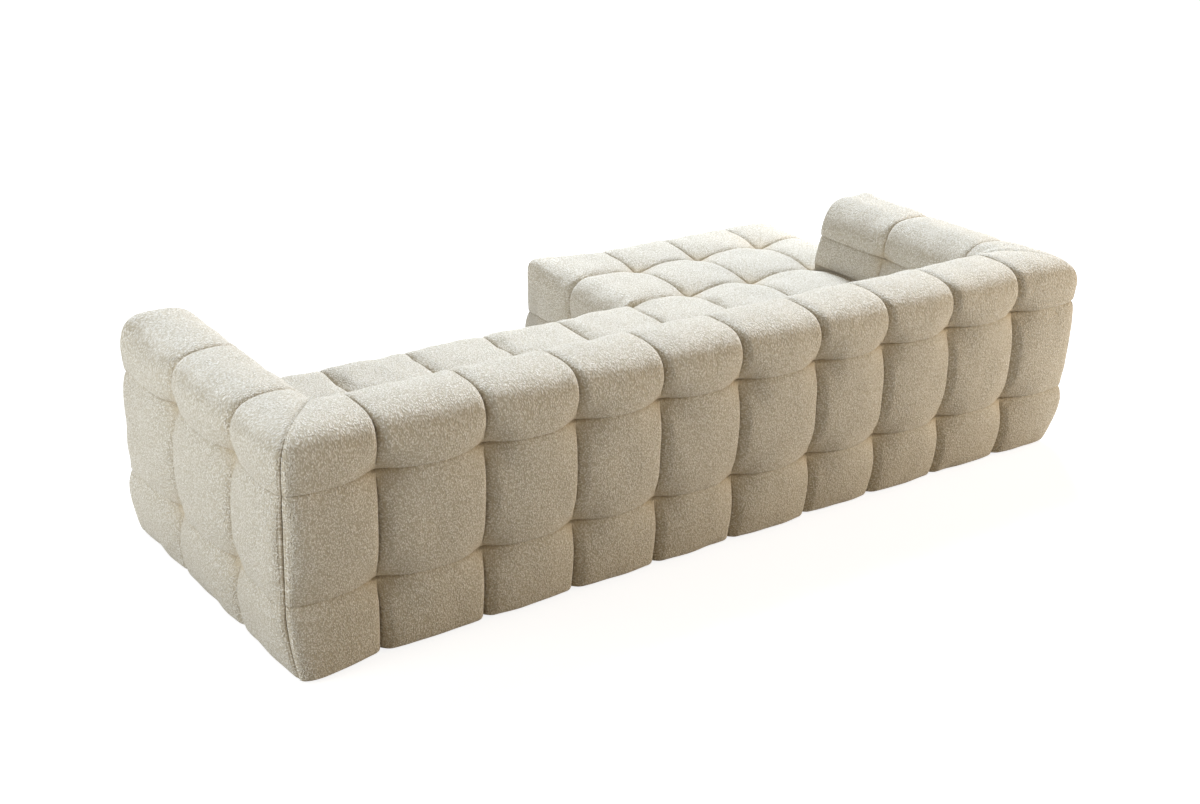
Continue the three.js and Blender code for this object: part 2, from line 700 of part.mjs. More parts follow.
function addConnectors() {
  connectorPlaces().forEach((v, i) => {
    const end = ['rear', 'front'][i];
    addMesh(`sofa_${end}_keeper`, keeper(sofaRailFace, v), steelLook);
    addMesh(`chaise_${end}_hook`, hook(chaiseRailFace, sofaRailFace, v), steelLook);
  });
}

const midpoints = (seams) => seams.slice(1).map((seam, i) => (seam + seams[i]) / 2);

function ribPlaces(run, count) {
  const first = run.startAt(run.inner) + cornerRibInset;
  const last = run.end - fitGap - boardThickness - fitGap - ribThickness;
  return Array.from({ length: count }, (_, i) => [lerp(first, last, i / (count - 1)), true]);
}

// Webbing runs from rail to rail, and its cross straps keep clear of the ribs
function addModuleInside(name, sides, frontFace, armOnLowSide, columnSeams, crossPlaces, bearer) {
  const { innerU, innerV } = addBase(name, sides, frontFace, armOnLowSide);
  const bearerBoard = bearer.alongV
    ? [[bearer.place - boardThickness / 2, bearer.place + boardThickness / 2], innerV]
    : [innerU, [bearer.place - boardThickness / 2, bearer.place + boardThickness / 2]];
  addMesh(`${name}_${bearer.label}`, boxBetween(...bearerBoard, [railBottom, bearer.top]), pineLook);
  const longRun = [backThickness - innerFoamThickness + fitGap, frontFace];
  addWebbing(name, midpoints(columnSeams), crossPlaces, longRun, sides);
}

function addSofaModule() {
  const place = (a, s) => [a, s];
  const armPlace = (a, s) => [s, a];
  const backRun = frameRun(backThickness, armThickness, sofaEnd, linerThickness);
  const armRun = frameRun(armThickness, backThickness, sofaDepth, skirtThickness);
  addMesh('sofa_back_upholstery', upholsteredBack(sofaSeams, place), upholsteryLook);
  const arm = withFrontBorder(upholsteredArm(armPlace), armThickness, sofaDepth, armPlace);
  addMesh('sofa_arm_upholstery', arm, upholsteryLook);
  addMesh('sofa_seat_upholstery', sofaSeat(), upholsteryLook);
  const sides = [outerFace, sofaRailFace];
  const frontFace = sofaDepth - outerFace;
  const middle = sofaSeams[3];
  addModuleInside('sofa', sides, frontFace, true, sofaSeams, midpoints(seatRows),
    { label: 'centre_bearer', alongV: true, top: bearerTop, place: middle });
  addWallFrame('sofa_back', backRun, ribPlaces(backRun, 3), true, place);
  addWallFrame('sofa_arm', armRun, armRibPlaces(armRun), false, armPlace);
  const glidePlaces = moduleGlides(sides, frontFace, [[middle, frontFace - boardThickness / 2]]);
  addDustCover('sofa', [sides[0] + coverMargin, sides[1] - coverMargin],
    [outerFace + coverMargin, frontFace - coverMargin], glidePlaces);
  addGlides('sofa', glidePlaces);
}

// Arm ribs: one just in front of the seat's rear rail, one standing on the rail at the arm's front
function armRibPlaces(run) {
  const behind = backThickness - innerFoamThickness + fitGap + boardThickness + fitGap;
  const front = run.end - fitGap - ribThickness;
  return [[behind, true], [front, false]];
}

function moduleGlides([u0, u1], frontFace, extra) {
  const half = boardThickness / 2;
  const inset = glideRadius + boardThickness;
  const ends = [u0 + inset, u1 - inset];
  const rows = [outerFace + half, frontFace - half];
  return [...rows.flatMap((v) => ends.map((u) => [u, v])), ...extra];
}

function addChaiseModule() {
  const place = (a, s) => [overallWidth - a, s];
  const armPlace = (a, s) => [overallWidth - s, a];
  const backRun = frameRun(backThickness, armThickness, chaiseBackSeams.at(-1), linerThickness);
  const armRun = frameRun(armThickness, backThickness, sofaDepth, skirtThickness);
  addMesh('chaise_back_upholstery', upholsteredBack(chaiseBackSeams, place), upholsteryLook);
  addMesh('chaise_arm_upholstery', upholsteredArm(armPlace), upholsteryLook);
  addMesh('chaise_seat_upholstery', chaiseSeat(), upholsteryLook);
  const sides = [chaiseRailFace, overallWidth - outerFace];
  const frontFace = chaiseDepth - outerFace;
  const columnSeams = chaiseBackSeams.map((a) => overallWidth - a).reverse();
  const crossPlaces = [midpoints(seatRows)[0], midpoints(chaiseRows)[0]];
  addModuleInside('chaise', sides, frontFace, false, columnSeams, crossPlaces,
    { label: 'cross_bearer', alongV: false, top: railTop, place: sofaDepth - outerFace - boardThickness / 2 });
  addWallFrame('chaise_back', backRun, ribPlaces(backRun, 2), true, place);
  addWallFrame('chaise_arm', armRun, armRibPlaces(armRun), false, armPlace);
  const glidePlaces = moduleGlides(sides, frontFace, []);
  addDustCover('chaise', [sides[0] + coverMargin, sides[1] - coverMargin],
    [outerFace + coverMargin, frontFace - coverMargin], glidePlaces);
  addGlides('chaise', glidePlaces);
}

addSofaModule();
addChaiseModule();
addConnectors();

const sectional = new THREE.Group();
const plan = new THREE.Group();
plan.rotation.z = Math.PI;
plan.position.set(overallWidth / 2, (chaiseDepth + borderBulge - wallBulge) / 2, 0);
plan.add(...meshes);
sectional.add(plan);

export default sectional;
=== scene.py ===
"""Two-module quilted sectional sofa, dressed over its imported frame. Metres, +Z up, front to -Y."""

import math
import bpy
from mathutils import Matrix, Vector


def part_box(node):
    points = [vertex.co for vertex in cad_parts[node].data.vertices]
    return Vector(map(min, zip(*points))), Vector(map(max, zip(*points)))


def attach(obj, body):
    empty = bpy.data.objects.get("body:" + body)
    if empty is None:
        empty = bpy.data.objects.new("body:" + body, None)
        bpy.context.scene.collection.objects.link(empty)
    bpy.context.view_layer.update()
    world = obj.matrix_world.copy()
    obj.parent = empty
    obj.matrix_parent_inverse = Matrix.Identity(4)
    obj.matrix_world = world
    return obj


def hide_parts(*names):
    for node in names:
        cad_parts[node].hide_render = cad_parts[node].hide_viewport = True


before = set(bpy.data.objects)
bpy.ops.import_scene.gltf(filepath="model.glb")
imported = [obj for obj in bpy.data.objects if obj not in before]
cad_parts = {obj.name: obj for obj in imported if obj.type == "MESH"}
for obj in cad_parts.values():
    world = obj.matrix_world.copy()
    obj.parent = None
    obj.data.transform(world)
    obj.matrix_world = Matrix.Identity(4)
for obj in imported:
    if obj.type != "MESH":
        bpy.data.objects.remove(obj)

from types import SimpleNamespace

import bmesh
import bpy
import numpy as np
from bpy.props import FloatProperty, FloatVectorProperty, IntProperty, PointerProperty
from mathutils import Matrix, Vector
from mathutils.geometry import delaunay_2d_cdt

bl_info = {
    "name": "Quilted Sectional Sofa",
    "version": (1, 0, 0),
    "blender": (4, 5, 0),
    "location": "View3D > Sidebar > Sectional",
    "description": "Upholstery, frame finishes and studio of a quilted two-module sofa",
    "category": "Object",
}

MODULES = ("sofa", "chaise")
SEAT_LOW, SEAT_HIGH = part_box("sofa_seat_upholstery")

# How far mesh rows gather at the seams, and the rows up each quilted row of a wall and up a seat's side
GATHER = 0.72
WALL_ROW_COUNTS = (36, 50, 96, 24)
BORDER_ROWS = 36
CLOTH_FRAMES = 20
# Lengths on the covers: along which a section's direction is taken, over which the mitred corner fills up and
# the free side of the chaise begins, width of the welt's line, crown, grid and reach of an arm's front, and
# width of the painted shade round that front's rim
NORMAL_REACH, CORNER_REACH, SPLIT_BLEND = 0.012, 0.12, 0.1
WELT_WIDTH = 0.0022
FRONT_CROWN, FRONT_GRID, CROWN_REACH, RIM_SHADE = 0.009, 0.012, 0.035, 0.002
# How much painted shade a groove lays on the cloth, per metre of its depth
GROOVE_SHADE = 40
# How far the cutters run past a piece, under the hem, and beyond the deck, and the windows for the connectors
CUT_REACH, CUT_BELOW, CUT_ABOVE = 0.05, 0.02, 0.005
RECESS_MARGIN, RECESS_FOOT = 0.007, 0.084
# Dust sheets: mesh size, depth of the cloth under the rails, a bay wide enough for the whole sag; staples
SHEET_GRID, SHEET_SINK, WIDE_BAY = 0.020, 0.0006, 0.5
GLIDE_RADIUS, STAPLE_END = 0.024, 0.012
# Screws: distance from a keeper's middle, and the length, width, depth and height of the slots in a head
KEEPER_HOLE = 0.03775
SCREW_SLOT, SLOT_HEIGHT, SHANK_RADIUS = (0.0056, 0.0011, 0.0022), 0.0020, 0.0024
# Materials: bend of the loops, pairs of plies, pitches and marker of the webbing, worn foot of a glide
LOOP_BEND = 0.010
PLY_PAIRS = 7
RIB_PITCH, PICK_PITCH = 0.0026, 0.0018
MARKER_PLACE, MARKER_WIDTH = 0.022, 0.0028
WORN_HEIGHT = 0.0022
FLOOR_REACH = 30.0


def length(name, description, default):
    """Length property in metres with the wording a user sees."""
    return FloatProperty(name=name, description=description, default=default, unit="LENGTH", precision=4)


def several(name, description, default, unit="NONE"):
    """Several values in a row."""
    return FloatVectorProperty(
        name=name, description=description, default=default, size=len(default), unit=unit)


def lengths(name, description, default):
    return several(name, description, default, "LENGTH")


def number(name, description, default, **limits):
    return FloatProperty(name=name, description=description, default=default, **limits)


def whole(name, description, default):
    return IntProperty(name=name, description=description, default=default)


def share(name, description, default):
    """Share between 0 and 1."""
    return FloatProperty(name=name, description=description, default=default, min=0, max=1, subtype="FACTOR")


def colour(name, description, default):
    return FloatVectorProperty(name=name, description=description, default=default, size=3, subtype="COLOR")


class SectionalSizes(bpy.types.PropertyGroup):
    """Seam-level sizes of the sofa, as its frame has them."""

    arm_thickness: length("Arm thickness", "Depth of an arm from its outer to its inner seam level", 0.262)
    back_thickness: length("Back thickness", "Depth of the back from its rear to its inner seam level", 0.280)
    wall_height: length("Wall height", "Height of arms and back at their top seams", 0.712)
    seat_height: length("Seat height", "Height of the seat at its seams", 0.412)
    hem_height: length("Hem height", "Gap between the hem and the floor", 0.006)
    deck_height: length("Deck height", "Height of the webbing deck under the foam", 0.2449)
    crease: length("Crease", "Gap between an arm and the first seat seam", 0.012)
    module_gap: length("Module gap", "Gap between the two modules", 0.0006)
    fit_gap: length("Fit gap", "Gap that touching covers keep", 0.0003)
    sofa_bay: length("Sofa bay", "Quilted width of the sofa module", 1.613)
    chaise_bay: length("Chaise bay", "Quilted width of the chaise module", 0.936)
    sofa_panels: several(
        "Sofa panels", "Shares of the sofa bay, from its arm on", (0.2145, 0.1972, 0.1934, 0.1922, 0.2027))
    chaise_panels: several("Chaise panels", "The same of the chaise bay", (0.3494, 0.3290, 0.3216))
    row_depths: lengths(
        "Row depths", "Depths of the seat's quilted rows, from the back on", (0.388, 0.340, 0.325, 0.255))
    lower_seam: length("Lower seam", "Height of the lower seam on every upright face", 0.224)
    upper_seam: length("Upper seam", "Height of the upper seam on arms and back", 0.553)
    hem_inset: length("Hem inset", "How far the hem is drawn in under the bottom row", 0.010)
    split_hem_inset: length("Split hem inset", "The same on the thin side where the modules part", 0.005)
    outer_top_radius: length("Outer top radius", "Roll from the outer face over the top", 0.100)
    inner_top_radius: length("Inner top radius", "Roll from the top down the inner face", 0.100)
    top_setback: length("Top setback", "How much thinner a wall is at its top", 0.040)
    seam_lean: share("Seam lean", "Share of the setback left at the inner seam", 0.4)
    seam_margin: length("Seam margin", "Upright stretch beyond the upper seam", 0.026)
    seat_tuck: length("Seat tuck", "How far the inner face dips behind the seat pillows", 0.028)
    skirt: length("Skirt", "Thickness of the foam in front of the rails", 0.048)
    inner_foam: length("Inner foam", "Thickness of the foam a back leans on", 0.085)
    top_foam: length("Top foam", "Thickness of the foam over the top rails", 0.094)
    liner: length("Liner", "Thickness of the lining where the modules part", 0.012)
    seat_edge_radius: length("Seat edge radius", "Roll along the free edges of the seats", 0.062)
    seat_side_radius: length("Seat side radius", "Roll along the chaise's outer side", 0.130)


class QuiltingLook(bpy.types.PropertyGroup):
    """How full the pillows are and how the stitched seams pull them in."""

    wall_bulge: length("Wall bulge", "Rise of a pillow on the outer faces", 0.050)
    top_bulge: length("Top bulge", "Rise of a pillow over the top", 0.010)
    inner_bulge: length("Inner bulge", "Rise of a pillow on the inner faces", 0.013)
    seat_bulge: length("Seat bulge", "Rise of a pillow on the seats", 0.031)
    border_bulge: length("Border bulge", "Rise of a pillow on the seat borders", 0.036)
    lip_reach: length("Lip reach", "Width of the round shoulder beside a channel", 0.032)
    lip_share: share("Lip share", "Share of the rise that the shoulder makes", 0.76)
    hem_reach: length("Hem reach", "Height of the round shoulder above the hem", 0.060)
    hem_floor: share("Hem floor", "Fullness left at the hem", 0.95)
    hem_roll: length("Hem roll", "Radius with which the hem turns under", 0.012)
    front_reach: length("Front reach", "Width of the shoulder at an arm's front edge", 0.016)
    top_floor: share("Top floor", "Fullness left in a channel over the top", 0.42)
    inner_floor: share("Inner floor", "Fullness left in a channel on an inner face", 0.25)
    near_corner_floor: share("Near corner floor", "Fullness left at the sofa's mitred corner", 0.29)
    far_corner_floor: share("Far corner floor", "Fullness left at the chaise's mitred corner", 0.52)
    near_corner_inset: length("Near corner inset", "How far the hem is drawn in at the sofa's corner", 0.010)
    far_corner_inset: length("Far corner inset", "The same at the chaise's corner", 0.020)
    sofa_back_inset: length("Sofa back inset", "How far the hem is drawn in behind the near corner", -0.001)
    split_inset: length("Split inset", "The same where the sofa's back ends at the chaise", 0.020)
    chaise_back_inset: length("Chaise back inset", "The same along the chaise's back", 0.029)
    arm_inset: length("Arm inset", "How far the hem is drawn in along the arms", 0.030)
    arm_fill: share("Arm fill", "Rise of the arms' pillows as a share of the backs'", 0.78)
    foot_bulge: length("Foot bulge", "Extra rise of a pillow above the hem", -0.002)
    near_arm_top: lengths(
        "Near arm top", "Lift of the sofa's arm at its corner, middle and front", (0.0, -0.001, 0.010))
    far_arm_top: lengths("Far arm top", "The same on the chaise's arm", (0.0, -0.018, -0.024))
    near_ear: length("Near ear", "How far the outer front corner of the sofa's arm is stuffed out", 0.014)
    far_ear: length("Far ear", "The same on the chaise's arm", 0.006)
    ear_reach: length("Ear reach", "Length over which that fades", 0.060)
    near_corner_shift: lengths(
        "Near corner shift", "How the foot of the sofa's corner is drawn aside in plan", (0.014, -0.038))
    far_corner_shift: lengths("Far corner shift", "The same at the chaise's corner", (-0.022, 0.002))
    shift_reach: length("Shift reach", "Length over which that fades", 0.170)
    front_floor: share("Front floor", "Fullness left at an arm's front edge", 0.85)
    row_floor: share("Row floor", "Fullness left along a level seam", 0.83)
    corner_power: number("Corner power", "Squareness of the chaise's free corner in plan", 7.0, min=2)
    side_power: number("Side power", "Squareness of the chaise's outer corner in plan", 3.0, min=2)
    peak_power: number("Peak power", "Squareness of the chaise's free top corner", 5.0, min=2)
    peak_reach: length("Peak reach", "Length over which that corner turns round", 0.110)
    panel_spread: share("Panel spread", "How much the panels differ in fullness", 0.05)
    weave_seed: whole("Seed", "Seed of the uneven stuffing", 7)
    arch_depth: share("Arch depth", "How much the channels arch between two tufts", 0.45)
    arch_reach: length("Arch reach", "Distance from a tuft at which the arch is full", 0.155)
    arch_across: length("Arch across", "Width beside a channel that arches", 0.075)
    seat_arch: share("Seat arch", "The same on top of the seats", 0.40)
    seat_floor: share("Seat floor", "Fullness left along a seat seam between two tufts", 0.42)
    edge_floor: share("Edge floor", "Fullness left where a seat seam rolls over the front edge", 0.78)
    edge_reach: length("Edge reach", "Distance from that edge over which it fades", 0.100)
    above_reach: length("Reach above", "Height of the dip above a level seam", 0.070)
    below_reach: length("Reach below", "Height of the dip below a level seam", 0.028)
    tuft_across: length("Tuft across", "Width that a tuft pulls in", 0.040)
    tuft_along: length("Tuft along", "Height that a tuft pulls in", 0.038)
    crease_depth: length("Crease depth", "Depth of the fine groove along a seam", 0.0070)
    crease_width: length("Crease width", "Half width of that groove", 0.0044)
    dart_depth: length("Dart depth", "Extra depth of the groove beside a tuft", 0.0080)
    dart_length: length("Dart length", "Length over which that depth fades", 0.042)
    sway: length("Sway", "Slow unevenness of the stuffing", 0.0018)
    welt_place: length("Welt place", "Distance of the stitched line from the mitred joint", 0.009)
    welt_depth: length("Welt depth", "Depth of that line", 0.0012)
    rows_per_panel: whole("Rows per panel", "Mesh rows across one panel", 52)
    cloth_step: whole("Cloth step", "Mesh rows for one row of blown cloth", 3)
    cloth_pressure: number("Cloth pressure", "Pressure inside the covers", 4.0)
    cloth_tension: number("Cloth tension", "Stiffness of the cloth when pulled", 12.0)
    cloth_bending: number("Cloth bending", "Stiffness of the cloth when bent", 4.0)
    cloth_ease: share("Cloth ease", "Extra cloth between two seams", 0.008)
    cloth_cap: length("Cloth cap", "Farthest that the blown cloth may move", 0.007)


class BoucleLook(bpy.types.PropertyGroup):
    """Colours and pile of the looped wool fabric."""

    loop_top: colour("Loop top", "Colour on top of the loops", (0.96, 0.94, 0.895))
    # Painted shade: the dark colour between the loops stands in for the shadow that falls into the pile
    loop_pit: colour("Loop pit", "Colour between the loops", (0.53, 0.48, 0.385))
    # Painted shade: the warm, darker colour laid deep into the seams
    seam_tint: colour("Seam tint", "Colour deep in the seams", (0.55, 0.45, 0.30))
    loop_size: length("Loop size", "Width of one loop", 0.0040)
    loop_height: length("Loop height", "Height of one loop", 0.0050)
    nap: share("Nap", "How short the loops are along the cloth, 1 for round ones", 0.7)


class FrameLook(bpy.types.PropertyGroup):
    """Colours of the frame, its webbing and its metal."""

    pine_early: colour("Pine early wood", "Pale part of the pine's rings", (0.80, 0.66, 0.46))
    pine_late: colour("Pine late wood", "Dark part of the pine's rings", (0.60, 0.40, 0.21))
    birch: colour("Birch veneer", "Face of the plywood", (0.76, 0.61, 0.43))
    glue_line: colour("Cross veneer", "Darker plies on the plywood's edges", (0.52, 0.36, 0.21))
    webbing_dark: colour("Webbing", "Rubber and yarn of the elastic webbing", (0.13, 0.12, 0.11))
    webbing_line: colour("Webbing line", "Marker yarns along the webbing", (0.50, 0.30, 0.12))
    cover_black: colour("Dust cloth", "Spunbond cloth under the seats", (0.032, 0.032, 0.036))
    glide_black: colour("Glide plastic", "Plastic of the glides", (0.040, 0.040, 0.045))
    zinc: colour("Zinc", "Plating of the connectors, screws and staples", (0.62, 0.63, 0.64))


class FasteningSizes(bpy.types.PropertyGroup):
    """Dust covers and what is repeated: stitches, staples and screws."""

    cover_sag: length("Cover sag", "How far a dust cover hangs down in a wide bay", 0.006)
    cover_gauge: length("Cover gauge", "Thickness of the dust cloth", 0.0008)
    glide_hole: length("Glide hole", "Radius of the notch for a glide's shank", 0.0105)
    staple_pitch: length("Staple pitch", "Distance between two staples", 0.040)
    staple_crown: length("Staple crown", "Length of a staple's crown", 0.0110)
    staple_wire: length("Staple wire", "Thickness of a staple's wire", 0.0011)
    staple_inset: length("Staple inset", "Distance of the staples from the cover's edge", 0.009)
    stitch_pitch: length("Stitch pitch", "Distance between two stitches", 0.0075)
    stitch_length: length("Stitch length", "Visible length of a stitch", 0.0056)
    stitch_thread: length("Stitch thread", "Thickness of the thread", 0.0011)
    welt_from_front: length("Front welt", "Distance of an arm's stitched line from its front edge", 0.007)
    screw_head: length("Screw head", "Radius of a screw's head", 0.0047)
    screw_rise: length("Screw rise", "Height of that head", 0.0018)
    plate: length("Connector plate", "Thickness of the connector steel", 0.0025)


class StudioLook(bpy.types.PropertyGroup):
    """Camera and light."""

    camera_place: lengths("Camera place", "Where the camera stands", (3.329, 4.513, 2.535))
    camera_aim: several("Camera aim", "Direction that the camera looks in", (-0.5557, -0.7371, -0.3847))
    camera_roll: number("Camera roll", "Turn about the viewing direction", 0.0436, subtype="ANGLE")
    lens: number("Lens", "Focal length on a 36 mm sensor", 51.5, unit="CAMERA")
    key_power: number("Key power", "Power of the soft box above the seat", 2600)
    side_power: number("Side power", "Power of the panel beside the near arm", 155)
    rear_power: number("Rear power", "Power of the panel behind the far end", 380)
    sky_strength: number("Sky strength", "Strength of the even sky light", 0.27)
    floor_colour: colour("Floor colour", "Colour of the studio floor", (0.62, 0.585, 0.53))


def running(start, steps):
    """Places reached from a start by one step after another."""
    return start + np.concatenate([[0.0], np.cumsum(steps)])


def plan_of(sizes):
    """Seams in plan: u from the sofa's outer corner along the back, v from the rear face to the front."""
    first = sizes.arm_thickness + sizes.crease
    sofa_seams = running(first, sizes.sofa_bay * np.array(sizes.sofa_panels))
    chaise_seams = running(first, sizes.chaise_bay * np.array(sizes.chaise_panels))
    rows = running(sizes.back_thickness + sizes.crease, sizes.row_depths)
    split = sofa_seams[-1]
    chaise_start = split + sizes.module_gap
    width = chaise_start + chaise_seams[-1]
    return SimpleNamespace(
        sofa_seams=sofa_seams, chaise_seams=chaise_seams, rows=rows, split=split,
        chaise_start=chaise_start, width=width, sofa_depth=rows[2], chaise_depth=rows[4])


def to_frame(points, sizes, plan):
    """Plan places as points of the frame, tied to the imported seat."""
    x = SEAT_LOW.x + plan.split - points[..., 0]
    y = SEAT_HIGH.y + sizes.back_thickness + sizes.fit_gap - points[..., 1]
    return np.stack([x, y, points[..., 2]], axis=-1)


def gathered(count):
    """Shares from 0 to 1, closer together at both ends, where the cloth dives into its seams."""
    even = np.linspace(0, 1, count + 1)
    return even - GATHER * np.sin(2 * np.pi * even) / (2 * np.pi)


def lip(distance, reach):
    """Quarter-round shoulder: 0 in the seam, 1 from its reach on."""
    near = np.clip(distance / reach, 0, 1)
    return np.sqrt(1 - (1 - near) ** 2)


def raised(distance, reach, floor):
    """The same shoulder, from a floor."""
    return floor + (1 - floor) * lip(distance, reach)


def fade(distance, reach):
    """1 at no distance, falling off over the reach."""
    return np.exp(-(distance / reach) ** 2)


def shoulder(distance, width, floor, look):
    """Rise of a pillow from one of its seams: a round lip, then a slow crown to its middle."""
    swell = 1 - (1 - np.clip(2 * distance / width, 0, 1)) ** 2.2
    rise = look.lip_share * lip(distance, look.lip_reach) + (1 - look.lip_share) * swell
    return floor + (1 - floor) * rise


def tuft(across, along, look):
    """Pull of a tuft: 0 at the stitch, 1 away from it."""
    reach = (across / look.tuft_across) ** 2 + (along / look.tuft_along) ** 2
    return 1 - np.exp(-(reach ** 0.75))


def arched(across, along, depth, look):
    """Fullness beside a channel, which arches from one tuft to the next."""
    low = (1 - np.clip(along / look.arch_reach, 0, 1)) ** 2
    return 1 - depth * low * fade(across, look.arch_across)


def near_hem(height, sizes):
    """1 at the hem, 0 from the lower seam up."""
    return np.clip(1 - (height - sizes.hem_height) / (sizes.lower_seam - sizes.hem_height), 0, 1)


def dipped(distance, reach, look):
    """Fullness near a level seam."""
    return 1 - (1 - look.row_floor) * fade(distance, reach)


def groove(across, along, look):
    """Depth of the stitched groove of a level seam; it deepens into a dart beside each tuft."""
    depth = look.crease_depth + look.dart_depth * np.exp(-across / look.dart_length)
    return depth * np.exp(-np.abs(along) / look.crease_width)


def sway(across, along, look):
    """Slow unevenness made of a few fixed waves."""
    waves = ((19.0, 9.0, 0.4), (-11.0, 23.0, 1.9), (31.0, -17.0, 3.1), (8.0, 41.0, 4.4), (47.0, 12.0, 5.3))
    return look.sway * sum(np.sin(across * a + along * b + c) for a, b, c in waves) / 2


def new_object(name, vertices, faces, cloth=None, edges=()):
    """Mesh object from arrays; cloth gives each point's place on the cloth and its depth in a seam, the mask
    of painted seam shade.
    """
    mesh = bpy.data.meshes.new(name)
    mesh.from_pydata(np.asarray(vertices).tolist(), edges, faces)
    if cloth is not None:
        places = mesh.attributes.new("cloth_place", "FLOAT_VECTOR", "POINT")
        places.data.foreach_set("vector", np.asarray(cloth, np.float32).ravel())
    mesh.update()
    made = bpy.data.objects.new(name, mesh)
    bpy.context.scene.collection.objects.link(made)
    return made


def turn_outward(made):
    """Recalculates the normals of a closed mesh after its doubles are merged."""
    work = bmesh.new()
    work.from_mesh(made.data)
    bmesh.ops.remove_doubles(work, verts=work.verts, dist=1e-6)
    bmesh.ops.recalc_face_normals(work, faces=work.faces)
    if work.calc_volume(signed=True) < 0:
        bmesh.ops.reverse_faces(work, faces=work.faces)
    work.to_mesh(made.data)
    work.free()


def prism(outline, heights):
    """Vertices and faces of an upright prism over an outline in plan."""
    count = len(outline)
    vertices = [(u, v, z) for z in heights for u, v in outline]
    sides = [(i, (i + 1) % count, count + (i + 1) % count, count + i) for i in range(count)]
    return np.array(vertices), [tuple(reversed(range(count))), tuple(range(count, 2 * count)), *sides]


def box_plan(u0, u1, v0, v1):
    return [(u0, v0), (u1, v0), (u1, v1), (u0, v1)]


def keep_result(made, modifier):
    """Keeps what a modifier makes of an object as its plain mesh."""
    bpy.context.view_layer.update()
    evaluated = made.evaluated_get(bpy.context.evaluated_depsgraph_get())
    result = bpy.data.meshes.new_from_object(evaluated)
    made.modifiers.remove(modifier)
    made.data = result


def cut(made, outline, heights, sizes, plan):
    """Cuts an upright prism, given in plan, out of a closed piece."""
    vertices, faces = prism(outline, heights)
    tool = new_object("cutter", to_frame(vertices, sizes, plan), faces)
    turn_outward(tool)
    modifier = made.modifiers.new("cut", "BOOLEAN")
    modifier.operation = "DIFFERENCE"
    modifier.solver = "MANIFOLD"
    modifier.object = tool
    keep_result(made, modifier)
    bpy.data.meshes.remove(tool.data)


def cut_recesses(made, sizes, plan, face):
    """Windows in the lining of a split side, where the steel connectors pass."""
    depth = sizes.liner + CUT_ABOVE
    for node in ("sofa_rear_keeper", "sofa_front_keeper"):
        low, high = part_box(node)
        v = SEAT_HIGH.y + sizes.back_thickness + sizes.fit_gap - (low.y + high.y) / 2
        half = (high.y - low.y) / 2 + RECESS_MARGIN
        outline = box_plan(face - depth, face + depth, v - half, v + half)
        cut(made, outline, (RECESS_FOOT, sizes.deck_height - CUT_ABOVE), sizes, plan)


def finish_cover(made, body, nodes):
    """Cloth, smooth shading, the module it rides with and the imported pieces it hides, for one padded cover.
    """
    made.data.materials.clear()
    made.data.materials.append(boucle_material())
    made.data.shade_smooth()
    made.data.set_sharp_from_angle(angle=math.radians(62))
    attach(made, body)
    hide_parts(*nodes)


def bezier(start, middle, end, count):
    """Points of a quadratic curve."""
    t = np.linspace(0, 1, count)[:, None]
    return (1 - t) ** 2 * np.array(start) + 2 * t * (1 - t) * np.array(middle) + t ** 2 * np.array(end)


def straight(start, end, count=2):
    return np.linspace(start, end, count)


def wall_rows(sizes, thickness):
    """Seam-level path of each quilted row of a wall, in depth s and height z, from the hem over the top."""
    top_inner = thickness - sizes.top_setback
    seam_inner = top_inner + sizes.seam_lean * sizes.top_setback
    outer, inner, top = sizes.outer_top_radius, sizes.inner_top_radius, sizes.wall_height
    t = np.linspace(0, 1, 60)
    low_row = np.column_stack([0 * t, sizes.hem_height + t * (sizes.lower_seam - sizes.hem_height)])
    middle_row = straight((0, sizes.lower_seam), (0, sizes.upper_seam), 60)
    margin = sizes.upper_seam + sizes.seam_margin
    crown_row = np.concatenate([
        straight((0, sizes.upper_seam), (0, top - outer), 20),
        bezier((0, top - outer), (0, top), (outer, top), 60)[1:],
        straight((outer, top), (top_inner - inner, top), 20)[1:],
        bezier((top_inner - inner, top), (top_inner, top), (seam_inner, margin), 80)[1:],
        straight((seam_inner, margin), (seam_inner, sizes.upper_seam), 6)[1:],
    ])
    inner_row = straight((seam_inner, sizes.upper_seam), (thickness, sizes.seat_height + sizes.seat_tuck), 40)
    return [low_row, middle_row, crown_row, inner_row]


def travelled(path):
    return np.concatenate([[0.0], np.cumsum(np.linalg.norm(np.diff(path, axis=0), axis=1))])


def at_length(path, wanted):
    run = travelled(path)
    return np.column_stack([np.interp(wanted, run, path[:, k]) for k in range(2)])


